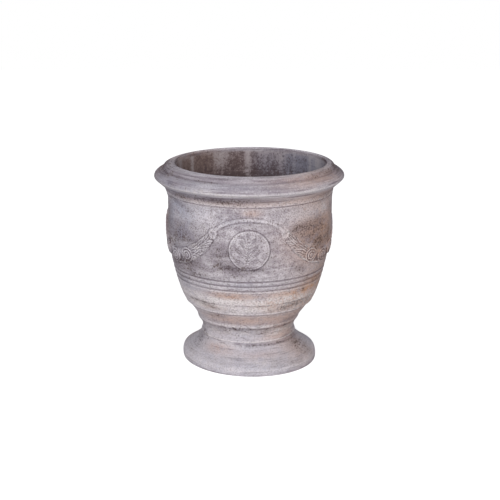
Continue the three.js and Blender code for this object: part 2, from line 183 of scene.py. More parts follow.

# %% [markdown]
# The urn is fired terracotta, brushed with a thin lime wash and left out of doors. Where rain runs
# and soil is splashed it goes dark, where it is rubbed the pink clay shows, and in the shade the
# wash keeps a blue cast. These marks are large and each sits in one place, so they are laid down
# as a map of spots. A spot has its angle round the urn in degrees, its height in mm, its reach
# round the urn in degrees and up and down in mm, and its strength. The side towards the camera is
# listed spot by spot and the far side takes the same spots half a turn on, shifted by a fixed
# random amount. The material breaks their soft edges up with noise.

# %% Map of the weather
DIRT_SPOTS = (
    # The spots at about 420 to 436 mm darken the rim's chin and the neck below it, where the rim's shade
    # falls, so they paint that shade as well as dirt.
    (-52, 425, 10, 12, 0.7), (-36, 428, 12, 7, 0.9), (-21, 427, 8, 6, 0.9), (-9, 430, 9, 6, 0.7),
    (6, 428, 8, 6, 0.35), (60, 422, 12, 12, 0.5), (0, 436, 50, 3.5, 0.2), (-68, 469, 16, 6, 0.95),
    (-82, 452, 12, 9, 0.8), (-30, 469, 26, 3, 0.4), (-66, 446, 14, 8, 0.4), (-67, 415, 4, 7, 0.9),
    (-59, 409, 4, 5, 0.8), (-52, 402, 4, 5, 0.8), (-45, 394, 4, 5, 0.7), (3, 60, 8, 2.5, 1.1),
    (-55, 338, 13, 24, 0.9), (-47, 324, 9, 12, 0.55), (-63, 320, 9, 12, 0.9), (-77, 352, 8, 60, 0.55),
    (-67, 302, 8, 10, 0.7), (-35, 347, 6, 12, 0.35), (42, 345, 12, 20, 0.55), (53, 335, 10, 22, 0.75),
    (56, 314, 9, 9, 1.1), (50, 318, 7, 8, 0.6), (50, 364, 16, 14, 0.45), (36, 361, 5, 9, 0.55),
    (57, 369, 5, 15, 0.35), (69, 327, 6, 22, 0.8), (32, 355, 3, 8, 0.7), (-19, 314, 4, 5, 1.4),
    (-15, 307, 3, 7, 1.2), (-21, 300, 5, 6, 0.9), (-27, 312, 6, 16, 0.4), (-22, 286, 8, 8, 0.5),
    (14, 335, 1.6, 2, 0.9), (-18, 273, 8, 8, 1.5), (-9, 269, 7, 7, 1.4), (-1, 269, 5, 6, 0.9),
    (4, 267, 4, 6, 1.0), (8, 269, 3, 5, 0.6), (-9, 253, 8, 8, 0.5), (-23, 263, 6, 6, 0.3),
    (1, 374, 8, 5, 0.35), (-53, 269, 9, 8, 1.1), (-46, 277, 6, 9, 0.9), (-61, 263, 8, 8, 1.0),
    (-51, 248, 14, 6, 0.8), (-39, 269, 5, 12, 0.6), (-69, 264, 6, 20, 0.9), (-31, 256, 8, 8, 0.25),
    (-29, 241, 14, 6, 0.3), (37, 261, 4, 8, 0.65), (59, 273, 6, 5, 0.9), (67, 268, 7, 8, 0.9),
    (53, 300, 7, 8, 0.35), (62, 233, 12, 16, 0.35), (-60, 227, 18, 14, 0.45), (46, 201, 1.8, 5, 0.7),
    (47, 226, 2.5, 12, 0.5), (60, 216, 8, 8, 0.4), (-38, 167, 7, 4.5, 0.8), (-29, 162, 6, 3.4, 0.8),
    (-50, 173, 8, 4, 0.8), (-57, 169, 12, 3, 0.4), (-3, 173, 4, 2.2, 0.8), (8, 173, 5, 2.2, 0.6),
    (-16, 155, 14, 2.5, 0.35), (-17, 198, 22, 7, 0.25), (28, 163, 6, 4.5, 0.8), (38, 165, 7, 5, 1.0),
    (47, 166, 6, 6, 0.9), (45, 174, 7, 3, 0.4), (34, 174, 12, 2, 0.5), (-40, 173, 16, 2, 0.8),
    (57, 169, 5, 14, 0.35), (19, 156, 8, 3, 0.3), (-34, 433, 30, 7, 0.4), (-12, 97, 7, 5, 0.6),
    (18, 91, 8, 6, 0.5), (-33, 90, 10, 6, 0.3), (0, 94, 400, 12, 0.12), (-68, 478, 14, 8, 0.7),
    (-90, 474, 14, 12, 1.2), (60, 478, 16, 7, 0.7), (88, 474, 10, 10, 0.5), (-35, 470, 10, 6, 0.4),
    (-12, 430, 7, 8, 0.6), (-5, 420, 6, 5, 0.4), (-31, 454, 12, 5, 0.5), (46, 472, 9, 5, 0.5),
    (-38, 362, 7, 10, 0.5), (-46, 254, 7, 11, 0.6), (-40, 238, 8, 8, 0.65), (12, 368, 6, 10, 0.2),
    (16, 322, 4, 22, 0.35), (14, 290, 4, 10, 0.35), (35, 400, 8, 12, 0.25), (-34, 136, 14, 8, 0.75),
    (-14, 118, 12, 4, 0.4), (16, 87, 9, 4, 0.5), (-25, 26, 12, 8, 0.25), (30, 26, 12, 8, 0.25),
    (-78, 50, 10, 16, 0.5), (68, 276, 6, 8, 0.3), (-14, 103, 18, 3, 0.95), (22, 101, 14, 2.5, 0.5),
    (44, 102, 8, 6, 0.5), (52, 116, 8, 12, 0.4), (-70, 88, 10, 25, 0.4), (20, 60, 10, 2.5, 1.1),
    (40, 60, 8, 2.5, 0.7), (-26, 60, 14, 2, 0.25), (66, 48, 15, 24, 1.0), (-66, 49, 10, 24, 0.5),
    (45, 19, 8, 5, 0.5), (23, 20, 14, 3, 0.35),
)
WARM_SPOTS = (
    (2, 401, 6, 9, 0.5), (65, 372, 14, 50, 0.45), (73, 302, 15, 60, 0.5), (49, 337, 16, 35, 0.35),
    (36, 195, 20, 12, 1.4), (58, 192, 18, 32, 1.5), (62, 300, 16, 60, 0.35), (44, 330, 22, 60, 0.4),
    (30, 425, 30, 12, 0.25), (48, 100, 24, 30, 0.4), (50, 178, 20, 20, 0.4), (62, 166, 18, 25, 0.9),
    (62, 226, 14, 20, 0.5), (36, 166, 22, 14, 1.3), (18, 176, 12, 10, 0.9), (-14, 198, 16, 8, 1.0),
    (-34, 163, 13, 7, 0.8), (25, 129, 46, 15, 0.65), (-21, 129, 30, 13, 0.55), (0, 182, 60, 24, 0.25),
    (44, 88, 26, 22, 0.8), (-10, 421, 46, 7, 0.25), (40, 432, 26, 8, 0.2), (48, 470, 28, 14, 0.6),
    (52, 417, 18, 14, 0.35), (58, 37, 20, 30, 0.5), (-36, 48, 16, 10, 0.6), (12, 40, 20, 8, 0.3),
    (51, 288, 12, 12, 0.3), (52, 300, 24, 110, 0.25), (-40, 92, 20, 20, 0.2),
)
COOL_SPOTS = (
    (-56, 371, 14, 36, 0.9), (-31, 392, 14, 18, 0.3), (-63, 401, 10, 14, 0.5), (-52, 200, 20, 24, 0.45),
    (9, 198, 10, 12, 0.6), (-6, 158, 12, 8, 0.35), (-30, 86, 50, 14, 0.35), (0, 228, 34, 10, 0.35),
    (-53, 451, 24, 20, 0.45), (-12, 384, 12, 14, 0.25), (-20, 102, 30, 20, 0.2), (-30, 24, 60, 26, 0.4),
    (6, 40, 30, 30, 0.2), (-70, 320, 24, 60, 0.4), (0, 462, 60, 10, 0.2),
)
PALE_SPOTS = (
    (-31, 379, 11, 28, 0.45), (-28, 275, 5, 6, 0.4), (6, 188, 20, 6, 0.3), (23, 266, 9, 1.6, 0.7),
    (21, 253, 12, 12, 0.2), (-25, 251, 14, 7, 0.3), (0, 445, 400, 4, 0.4), (0, 36, 400, 14, 0.3),
    (9, 184, 11, 7, 0.9), (-8, 160, 13, 8, 1.1), (-31, 184, 9, 6, 0.9), (-14, 182, 10, 6, 0.6),
    (32, 186, 11, 7, 0.8), (0, 108, 400, 2, 0.5), (0, 18, 400, 11, 0.3), (0, 90, 400, 14, 0.5),
    # The spot at 25 degrees and 351 mm is a painted highlight on the right-hand knot.
    (0, 314, 13, 40, 0.12), (25, 351, 3.4, 8, 0.55), (-48, 186, 14, 12, 0.6), (-10, 348, 5, 9, 0.4),
    (19, 384, 16, 16, 0.2), (62, 396, 4, 14, 0.5), (-55, 70, 14, 20, 0.4), (0, 417, 400, 4, 0.3),
    (24, 196, 10, 14, 0.3), (0, 172, 400, 26, 0.45), (-42, 172, 22, 18, 0.7), (44, 172, 24, 18, 1.0),
    (-48, 388, 14, 22, 0.4), (44, 392, 16, 16, 0.45), (0, 128, 400, 12, 0.2), (56, 250, 14, 14, 0.3),
    (42, 430, 24, 16, 0.3), (-27, 452, 9, 6, 0.5), (24, 430, 14, 7, 0.4), (-40, 312, 10, 7, 0.5),
    (-62, 310, 10, 8, 0.4), (30, 330, 4, 8, 0.4), (44, 312, 9, 6, 0.6), (-25, 462, 10, 8, 0.4),
    (50, 455, 14, 8, 0.4), (36, 177, 14, 6, 1.0), (-31, 177, 8, 6, 0.8), (-2, 163, 12, 6, 0.7),
    (14, 107, 12, 5, 0.9), (-10, 56, 16, 5, 0.5), (-34, 58, 12, 6, 0.5), (35, 86, 10, 10, 0.8),
    (-22, 110, 14, 5, 0.4), (60, 390, 6, 18, 0.4), (14, 30, 12, 6, 0.4),
)
PITTED_SPOTS = (
    (-37, 165, 9, 7, 1.0), (35, 165, 17, 9, 1.3), (0, 173, 400, 2, 0.5), (52, 151, 12, 16, 0.9),
    (-14, 103, 18, 4, 0.9), (26, 103, 20, 4, 0.8), (46, 103, 14, 16, 0.7), (0, 88, 400, 12, 0.45),
    (10, 59, 60, 2.5, 1.0), (47, 353, 14, 18, 0.5), (-51, 337, 14, 20, 0.4), (-17, 308, 5, 7, 0.8),
    (-15, 269, 16, 7, 0.4), (-53, 263, 14, 12, 0.5), (14, 335, 1.5, 2, 1.0),
)
INSIDE_DARK = (
    (-36, 450, 15, 60, 0.65), (-13, 440, 8, 50, 0.7), (13, 432, 8, 30, 0.2), (4, 450, 4, 50, 0.4),
    (37, 450, 4, 34, 0.7), (23, 450, 6, 40, 0.45), (0, 402, 400, 20, 0.9),
)
INSIDE_WARM = ((-64, 450, 18, 60, 0.9), (-38, 455, 14, 50, 0.8), (-10, 440, 10, 40, 0.3))
INSIDE_COOL = ((36, 450, 10, 60, 0.6), (62, 450, 20, 60, 1.1), (14, 450, 10, 50, 0.35))
INSIDE_PALE = (
    (-53, 450, 2.2, 50, 0.9), (-1, 450, 2.4, 60, 0.8), (38, 458, 2.0, 40, 0.4), (66, 460, 9, 24, 0.8),
    (12, 458, 5, 26, 0.3), (26, 452, 4, 20, 0.3), (-72, 450, 3, 50, 0.6), (0, 477, 400, 7, 0.6),
    (26, 462, 7, 20, 0.25), (55, 455, 2.0, 40, 0.5), (-24, 458, 7, 26, 0.9),
)
HALF_TURN = 180.0
spot_shift = np.random.default_rng(41)


def both_sides(spots):
    """The front spots as given, then the same ones half a turn on, shifted and weaker or stronger."""
    front = np.array(spots, float)
    back = front.copy()
    back[:, 0] += HALF_TURN + spot_shift.normal(0, 7, len(back))
    back[:, 4] *= spot_shift.uniform(0.6, 1.1, len(back))
    return np.concatenate([front, back])


weather_map = [
    both_sides(spots) for spots in (DIRT_SPOTS, WARM_SPOTS, COOL_SPOTS, PALE_SPOTS, PITTED_SPOTS)
]
inside_map = (INSIDE_DARK, INSIDE_WARM, INSIDE_COOL, INSIDE_PALE, ())


def weather_at(points, spots, turn):
    """points in mm, turn in degrees. The spots add up, softly held near one."""
    total = np.zeros(len(points))
    for angle, height, reach, spread, strength in spots:
        away = (turn - angle + HALF_TURN) % (2 * HALF_TURN) - HALF_TURN
        total += strength * np.exp(-(away / reach) ** 2 - ((points[:, 2] - height) / spread) ** 2)
    return 1.15 * (1 - np.exp(-total))


def weather_of(points, soil):
    """Dirt, warm, cool, pale and pitted at each point. The inside is mapped as seen from in front."""
    outside = np.degrees(np.arctan2(points[:, 0], -points[:, 1]))
    inside = np.degrees(np.arctan2(points[:, 0], points[:, 1]))
    found = [weather_at(points, spots, outside) for spots in weather_map]
    within = [weather_at(points, spots, inside) for spots in inside_map]
    return [a * (1 - soil) + b * soil for a, b in zip(found, within)]


print("spots on the map:", sum(len(spots) for spots in weather_map))

# %% [markdown]
# One finish covers the urn: fired terracotta under limewash. It is built up as the potter and the
# weather did it, so every layer is a colour laid over the last one where a pattern rises past a
# limit. Two helpers serve for all of them: one adds patterns up, and one lays a colour on. Image
# textures could do it too, but noise of a known size in mm has no seam and needs no unwrapping.

# %% Helpers for the layers


def mixture(tree, *shares, start=0.0):
    """Patterns added up, each times its share, which is a number or another pattern."""
    total = start
    for pattern, share in shares:
        terms = {0: pattern, 1: share, 2: total}
        total = add_node(tree, "ShaderNodeMath", {"operation": "MULTIPLY_ADD"}, terms)
    return total


def laid_over(tree, base, colour, pattern, low, high, strength=1.0):
    """The base, with the colour over it from where the pattern is low to full strength where high."""
    limits = {"Value": pattern, "From Min": low, "From Max": high, "To Max": strength}
    share = add_node(tree, "ShaderNodeMapRange", SMOOTH, limits)
    return add_node(tree, "ShaderNodeMix", COLOURS, {0: share, 6: base, 7: colour}).outputs[2]


print("helpers for a layer:", mixture.__name__, "and", laid_over.__name__)

# %% [markdown]
# The clay's own patterns are noise of several sizes, from grit and speckle through mottling and
# tint to clouds five or six centimetres wide. Grit is two or three mm and speckle four or five, a
# little coarser than real, the least that shows in the picture. Brush marks follow the wheel, so
# their noise reads the angle round the axis as a circle, and the radius and the height as its
# other two directions: long round the urn, thin up and down it. Soil runs down the inside, so the
# noise there is drawn out upwards. An image could hold such marks too, but it would need a seam.

# %% Patterns in clay and wash
CLOUDS = (55, 5.0, 0.6)
TINT = (30, 2.0, 0.6)
MOTTLE = (15, 5.0, 0.65)
SPECKLE = (4.4, 3.0, 0.65)
GRIT = (2.6, 2.0, 0.6)
RUNS = (10, 4.0, 0.6)
RUN_STRETCH = 0.22
BRUSH_MM = 4
BRUSH_ROUND = 2.2
print("sizes of the noise, mm:", [kind[0] for kind in (CLOUDS, TINT, MOTTLE, SPECKLE, GRIT, RUNS)])


def brush_marks(tree, axes, width_mm, rounds):
    flat = add_node(tree, "ShaderNodeCombineXYZ", None, {"X": axes["X"], "Y": axes["Y"]})
    radius = add_node(tree, "ShaderNodeVectorMath", {"operation": "LENGTH"}, {0: flat}).outputs["Value"]
    circle = add_node(tree, "ShaderNodeVectorMath", {"operation": "NORMALIZE"}, {0: flat})
    circle = add_node(tree, "ShaderNodeVectorMath", {"operation": "SCALE"}, {0: circle, "Scale": rounds})
    ring = add_node(tree, "ShaderNodeSeparateXYZ", None, {0: circle}).outputs
    out, up = [mixture(tree, (length, 1000 / width_mm)) for length in (radius, axes["Z"])]
    place = add_node(tree, "ShaderNodeCombineXYZ", None, {"X": ring["X"], "Y": ring["Y"], "Z": out})
    settings = {"Vector": place, "W": up, "Detail": 4.0, "Roughness": 0.6, "Scale": 1.0}
    return add_node(tree, "ShaderNodeTexNoise", {"noise_dimensions": "4D"}, settings)


def clay_patterns(tree):
    """Every pattern in the clay, and what the pieces' own attributes say of weather and form."""
    spot = add_node(tree, "ShaderNodeTexCoord").outputs["Object"]
    axes = add_node(tree, "ShaderNodeSeparateXYZ", None, {0: spot}).outputs
    run = {"X": axes["X"], "Y": axes["Y"], "Z": mixture(tree, (axes["Z"], RUN_STRETCH))}
    column = add_node(tree, "ShaderNodeCombineXYZ", None, run)
    found = SimpleNamespace()
    for name, (size_mm, detail, roughness), place in (
        ("clouds", CLOUDS, spot), ("tint", TINT, spot), ("mottle", MOTTLE, spot),
        ("speckle", SPECKLE, spot), ("grit", GRIT, spot), ("runs", RUNS, column),
    ):
        settings = {"Vector": place, "Scale": 1000 / size_mm, "Detail": detail, "Roughness": roughness}
        setattr(found, name, add_node(tree, "ShaderNodeTexNoise", None, settings))
    found.drag = brush_marks(tree, axes, BRUSH_MM, BRUSH_ROUND)
    found.broad = brush_marks(tree, axes, BRUSH_MM * 3.2, BRUSH_ROUND * 1.4)
    for attribute, names in (("weather", ("dirt", "warm", "cool")), ("form", ("hollow", "pale", "soil"))):
        stored = add_node(tree, "ShaderNodeAttribute", {"attribute_name": attribute}).outputs["Vector"]
        stored = add_node(tree, "ShaderNodeSeparateXYZ", None, {0: stored}).outputs
        for name, axis in zip(names, "XYZ"):
            setattr(found, name, stored[axis])
    return found


# %% [markdown]
# The wash goes on with a wide brush, thin and mauve to thick and pale. In the shade it keeps a
# blue cast, and on the warm side clay tints it. Where a point is marked pale, lime is laid on:
# paler wash from the map of the weather, and painted highlights on ridges, edges and the relief.
# Where it is rubbed off, the clay shows brown or orange. Flecks of lime, dark grit and the thin
# lines that a dry brush leaves lie all over it.

# %% Wash and bare clay
CLAY_ORANGE = linear("#C2906F")
CLAY_BROWN = linear("#8A6E62")
WASH_PALE = linear("#D3CED5")
WASH_MAUVE = linear("#978F98")
WASH_BLUE = linear("#9FA2B5")
WASH_TAN = linear("#C79F86")
LIME = linear("#E6E0E1")
GRIME_AND_SHADE = linear("#50444B")
GRIME_BROWN = linear("#54423B")


def wash(tree, clay, strokes, thin):
    body = mixture(
        tree, (clay.drag, 0.7 * strokes), (clay.broad, 0.5), (clay.mottle, 1 - 0.7 * strokes),
        (clay.pale, 0.45), (clay.speckle, 0.3),
    )
    coat = laid_over(tree, WASH_MAUVE, WASH_PALE, body, 0.68 + thin, 1.13 + thin)
    coat = laid_over(tree, coat, WASH_BLUE, clay.clouds, 0.25, 0.65, clay.cool)
    sides = mixture(tree, (clay.broad, 1.0), (clay.mottle, 1.0))
    coat = laid_over(tree, coat, WASH_TAN, sides, 0.55, 1.1, mixture(tree, (clay.warm, 0.9)))
    thick = mixture(tree, (clay.mottle, 0.4), (clay.broad, 0.25), (clay.speckle, 0.35))
    # Painted highlight as well as paler wash: lime where the pale mark is high.
    ridges = {"Value": clay.pale, "From Min": 0.35, "From Max": 1.0}
    ridges = add_node(tree, "ShaderNodeMapRange", SMOOTH, ridges)
    return laid_over(tree, coat, LIME, thick, 0.42, 0.55, ridges)


def rubbed(tree, clay, coat, wear, strokes):
    fired = mixture(tree, (clay.mottle, 1.0), (clay.warm, 0.25))
    fired = laid_over(tree, CLAY_BROWN, CLAY_ORANGE, fired, 0.42, 0.75)
    bare = mixture(tree, (clay.mottle, 0.6), (clay.broad, 0.4), (clay.warm, 0.13))
    base = laid_over(tree, coat, fired, bare, 0.74 - 0.25 * wear, 0.90 - 0.2 * wear, 0.7)
    base = laid_over(tree, base, WASH_PALE, clay.speckle, 0.54, 0.68, 0.55 - 0.3 * strokes)
    base = laid_over(tree, base, GRIME_BROWN, clay.grit, 0.50, 0.36, 0.8 - 0.55 * strokes)
    return laid_over(tree, base, GRIME_AND_SHADE, clay.drag, 0.47, 0.34, 0.75 * strokes ** 4)


print("the pale wash in linear light:", [round(c, 3) for c in WASH_PALE[:3]])

# %% [markdown]
# Stains come last: a thin veil, with specks that crowd together where the map says dirt, and a
# dark layer in every hollow, which is painted shade with some grime. They are brown on the warm
# side and grey in the shade. The inside is stained all over, by soil and lime that have run down it.

# %% Stains and the soiled inside
INSIDE_SHADE = linear("#5E5052")
INSIDE_MAUVE = linear("#988B8F")
INSIDE_BROWN = linear("#877168")
INSIDE_BLUE = linear("#80869A")
INSIDE_LIME = linear("#C2BABC")


def stained(tree, clay, base):
    tint = {"Value": clay.tint, "From Min": 0.4, "From Max": 0.7}
    tint = add_node(tree, "ShaderNodeMapRange", SMOOTH, tint)
    brown = mixture(tree, (tint, 1.0), (clay.warm, 1.0))
    dark = add_node(tree, "ShaderNodeMix", COLOURS, {0: brown, 6: GRIME_AND_SHADE, 7: GRIME_BROWN}).outputs[2]
    sides = mixture(tree, (clay.mottle, 1.0), (clay.clouds, 1.0))
    base = laid_over(tree, base, dark, sides, 0.65, 1.2, mixture(tree, (clay.dirt, 0.55)))
    field = mixture(tree, (clay.speckle, 0.6), (clay.mottle, 0.2), (clay.grit, 0.2))
    low = mixture(tree, (clay.dirt, -0.135), start=0.60)
    high = mixture(tree, (low, 1.0), start=0.055)
    crowd = {"Value": clay.dirt, "From Min": 0.0, "From Max": 0.25, "To Max": 0.85}
    crowd = add_node(tree, "ShaderNodeMapRange", SMOOTH, crowd)
    base = laid_over(tree, base, dark, field, low, high, crowd)
    # Painted shade: the dark grime colour goes into hollows, creases and the feet of the relief, with some
    # real grime.
    corners = mixture(tree, (clay.mottle, 0.6), (clay.speckle, 0.5))
    return laid_over(tree, base, GRIME_AND_SHADE, corners, 0.32, 0.72, mixture(tree, (clay.hollow, 0.8)))


def soiled_inside(tree, clay, base):
    wet = mixture(
        tree, (clay.runs, 0.28), (clay.mottle, 0.32), (clay.speckle, 0.55),
        (clay.dirt, -0.16), (clay.pale, 0.2),
    )
    inside = laid_over(tree, INSIDE_SHADE, INSIDE_MAUVE, wet, 0.46, 0.66)
    inside = laid_over(tree, inside, INSIDE_BROWN, wet, 0.3, 0.6, clay.warm)
    inside = laid_over(tree, inside, INSIDE_BLUE, wet, 0.35, 0.62, clay.cool)
    inside = laid_over(tree, inside, INSIDE_LIME, wet, 0.42, 0.8, clay.pale)
    return add_node(tree, "ShaderNodeMix", COLOURS, {0: clay.soil, 6: base, 7: inside}).outputs[2]


print("the grime in linear light:", [round(c, 3) for c in GRIME_AND_SHADE[:3]])

# %% [markdown]
# The same layers make four materials, because the brush shows more on the rim and the foot than
# on the wall, and hardly at all on the relief. Fired clay is dull and stays dull when it is worn,
# so its roughness is high and the same everywhere, and the grain comes from a bump of the grit
# and the speckle, with the brush marks in it.

# %% Limewashed terracotta


def limewashed_clay(name, wear, strokes, thin):
    """wear bares the clay, strokes shows the brush, and thin lets more of the mauve through."""
    material = bpy.data.materials.new(name)
    material.use_nodes = True
    tree = material.node_tree
    tree.nodes.clear()
    clay = clay_patterns(tree)
    base = rubbed(tree, clay, wash(tree, clay, strokes, thin), wear, strokes)
    base = soiled_inside(tree, clay, stained(tree, clay, base))
    grain = mixture(tree, (clay.speckle, 0.7), (clay.grit, 0.35), (clay.drag, 0.6 * strokes))
    bump = add_node(tree, "ShaderNodeBump", None, {"Strength": 0.8, "Distance": 0.0014, "Height": grain})
    surface = add_node(
        tree, "ShaderNodeBsdfPrincipled", None,
        {"Base Color": base, "Roughness": 0.92, "IOR": 1.5, "Specular IOR Level": 0.25, "Normal": bump},
    )
    add_node(tree, "ShaderNodeOutputMaterial", None, {0: surface})
    return material


clay_foot = limewashed_clay("limewashed_terracotta_foot", wear=0.35, strokes=0.8, thin=-0.02)
clay_bowl = limewashed_clay("limewashed_terracotta_bowl", wear=0.4, strokes=0.35, thin=0.03)
clay_rim = limewashed_clay("limewashed_terracotta_rim", wear=0.4, strokes=0.9, thin=0.10)
clay_relief = limewashed_clay("limewashed_terracotta_sprigs", wear=0.35, strokes=0.2, thin=0.05)
print("nodes in each limewashed clay:", len(clay_bowl.node_tree.nodes))

# %% [markdown]
# The foot, the bowl and the rim are thrown on a wheel, so each is one outline turned about the
# axis. The outline is drawn in millimetres from the same few sizes as the frame. Each point also
# says how dark its hollows are, with painted shade and some grime, how pale it is, with painted
# highlights on ridges and edges, and whether soil has stained it.

# %% Wall curve
foot_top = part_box("foot")[1][2]
(_, _, bowl_low), (_, _, bowl_top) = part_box("bowl")
(_, _, rim_low), (rim_reach, _, rim_top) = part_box("rim")
HEIGHT = round(rim_top / MM)
RIM_RADIUS = round(rim_reach / MM)
FOOT_RADIUS = 163.4
BOWL_RADIUS = 196
MOUTH_RADIUS = 180
NECK_INNER = 178
BELLY_HEIGHT = 320
RIDGE_RADIUS = 150.5
RIDGE_HEIGHT = 146.5
WALL = 22
NECK_TOP = bowl_top / MM
NECK_LINE = NECK_TOP - 12.2
BASE = bowl_low / MM
JOINT_RADIUS = 121.7
print("height and rim radius, mm:", HEIGHT, RIM_RADIUS)
print("bowl, mm: from", round(BASE, 1), "to", round(NECK_TOP, 1))


def bezier(points, steps):
    points = np.array(points, float)
    t = np.linspace(0, 1, steps + 1)[:, None]
    if len(points) == 3:
        return (1 - t) ** 2 * points[0] + 2 * (1 - t) * t * points[1] + t * t * points[2]
    return (
        (1 - t) ** 3 * points[0] + 3 * (1 - t) ** 2 * t * points[1]
        + 3 * (1 - t) * t * t * points[2] + t ** 3 * points[3]
    )


belly = bezier([
    (BOWL_RADIUS, BELLY_HEIGHT), (BOWL_RADIUS, BELLY_HEIGHT - 44),
    (RIDGE_RADIUS + 16, RIDGE_HEIGHT + 6), (RIDGE_RADIUS, RIDGE_HEIGHT),
], 400)


def wall_radius(height):
    return np.interp(height, belly[::-1, 1], belly[::-1, 0])


def swell(value, centre, width):
    return np.exp(-((value - centre) / width) ** 2)


def soft_step(value):
    value = np.clip(value, 0, 1)
    return value * value * (3 - 2 * value)


def resample(outline, spacing):
    """Points a spacing apart; spacing may be a function of the height, to crowd them in a groove."""
    outline = np.array(outline, float)
    reach = np.concatenate([[0], np.cumsum(np.hypot(*np.diff(outline, axis=0).T))])
    if callable(spacing):
        at = [0.0]
        while at[-1] < reach[-1]:
            at.append(at[-1] + float(spacing(np.interp(at[-1], reach, outline[:, 1]))))
        at = np.array(at) * reach[-1] / at[-1]
    else:
        at = np.linspace(0, reach[-1], max(int(reach[-1] / spacing), 2) + 1)
    return np.stack([np.interp(at, reach, outline[:, k]) for k in (0, 1)], 1)


def outline_rows(seen, hollow, pale, soil, hidden, hidden_soil):
    """Rows of radius, height, hollow, pale and soil. Hidden points are neither hollow nor pale."""
    front = np.column_stack([seen, hollow, pale, np.broadcast_to(soil, len(seen))])
    back = np.column_stack([hidden, np.zeros((len(hidden), 2)), np.full(len(hidden), hidden_soil)])
    return np.concatenate([front, back])


# %% [markdown]
# The bowl swells from a ridge near its foot to a straight neck, and three rings were cut in it
# while it turned. Bump in the material would leave the edge of the wall smooth against the sky,
# so the rings are in the outline, whose points stand closer together there to keep them crisp.

# %% The bowl's outline
GROOVES = ((212.5, 1.5), (224.2, 1.6), (235.9, 1.7))
GROOVE_WIDTH = 2.3
SEAM_HEIGHT = 172.5
NECK_RADIUS = BOWL_RADIUS + 6
BAND_RADIUS = 124.5
FLOOR_THICKNESS = 27
DRAIN_RADIUS = 14
INSIDE_SPACING = 7.5


def bowl_spacing(height):
    sharp = [centre for centre, _ in GROOVES] + [NECK_LINE, RIDGE_HEIGHT, SEAM_HEIGHT, BASE]
    return 0.75 if min(abs(height - centre) for centre in sharp) < 4.5 else 2.0


def bowl_outline():
    neck = bezier([
        (NECK_RADIUS, NECK_TOP), (BOWL_RADIUS + 3, NECK_TOP - 9), (BOWL_RADIUS, NECK_TOP - 24),
    ], 20)
    undercut = bezier([
        (RIDGE_RADIUS - 1.8, RIDGE_HEIGHT - 2.2), (131.5, BASE + 22), (BAND_RADIUS, BASE + 8),
    ], 20)
    band = bezier([(BAND_RADIUS, BASE + 8), (BAND_RADIUS - 0.5, BASE + 3), (JOINT_RADIUS, BASE)], 8)
    outside = resample(np.concatenate([neck, belly, undercut, band]), bowl_spacing)
    height = outside[:, 1]
    hollow = np.zeros(len(outside))
    pale = np.zeros(len(outside))
    # Painted shade in each groove and painted highlights on its two edges.
    for centre, depth in GROOVES:
        burr = 0.35 * swell(height, centre - 5.6, 2.6)
        outside[:, 0] -= depth * swell(height, centre, GROOVE_WIDTH) - burr
        hollow += 0.95 * swell(height, centre - 0.2, GROOVE_WIDTH)
        pale += 0.55 * swell(height, centre - 3.6, 1.6) + 0.35 * swell(height, centre + 3.4, 1.4)
    # Painted shade, with some grime, in the neck line, the seam and under the ridge.
    lines = ((NECK_LINE, 1.1, 1.2, 1.3), (SEAM_HEIGHT, 0.5, 0.9, 0.7), (RIDGE_HEIGHT - 3.2, 1.0, 1.5, 0.7))
    for centre, depth, width, shade_and_grime in lines:
        outside[:, 0] -= depth * swell(height, centre, width)
        hollow += shade_and_grime * swell(height, centre, width)
    outside[:, 0] += 1.5 * swell(height, RIDGE_HEIGHT + 1.6, 1.7)
    # Painted highlights on the crest of the ridge and above the seam.
    pale += 1.8 * swell(height, RIDGE_HEIGHT + 1.4, 1.6) + 0.4 * swell(height, SEAM_HEIGHT + 2.4, 1.4)
    # Painted shade where the bowl meets the foot and at the neck under the rim.
    hollow += 0.75 * swell(height, BASE, 2.5) + 0.3 * swell(height, NECK_TOP, 5)
    floor = BASE + FLOOR_THICKNESS
    under = resample([(JOINT_RADIUS, BASE), (DRAIN_RADIUS, BASE)], 12)[1:]
    drain = resample([(DRAIN_RADIUS, BASE), (DRAIN_RADIUS, floor)], 8)[1:]
    inner = BOWL_RADIUS - WALL
    inside = bezier([
        (DRAIN_RADIUS, floor), (inner - 14, floor), (inner, floor + 100), (inner, BELLY_HEIGHT - 20),
    ], 60)
    inside = resample(np.concatenate([inside, [(NECK_INNER, NECK_TOP)]]), INSIDE_SPACING)[1:]
    top = resample([(NECK_INNER, NECK_TOP), (NECK_RADIUS, NECK_TOP)], 6)[1:-1]
    return outline_rows(outside, hollow, pale, 0, np.concatenate([under, drain, inside, top]), 1)


print("points in the bowl's outline:", len(bowl_outline()))

# %% [markdown]
# The rim is a thick roll joined on top: a lip round the mouth, a shallow notch and a full nose
# below it. A round profile swept about the axis would be too even, so each of its curves is a
# Bezier between two named places and leaves them at its own slope.

# %% The rim's outline
RIM_BASE = rim_low / MM
CREST = (MOUTH_RADIUS + 2.5, HEIGHT)
NOTCH = (BOWL_RADIUS + 8, HEIGHT - 12.5)
NOSE = (RIM_RADIUS, HEIGHT - 31.5)
RIM_SEAT = (NECK_RADIUS, RIM_BASE)


def shifted(place, out, up):
    return (place[0] + out, place[1] + up)


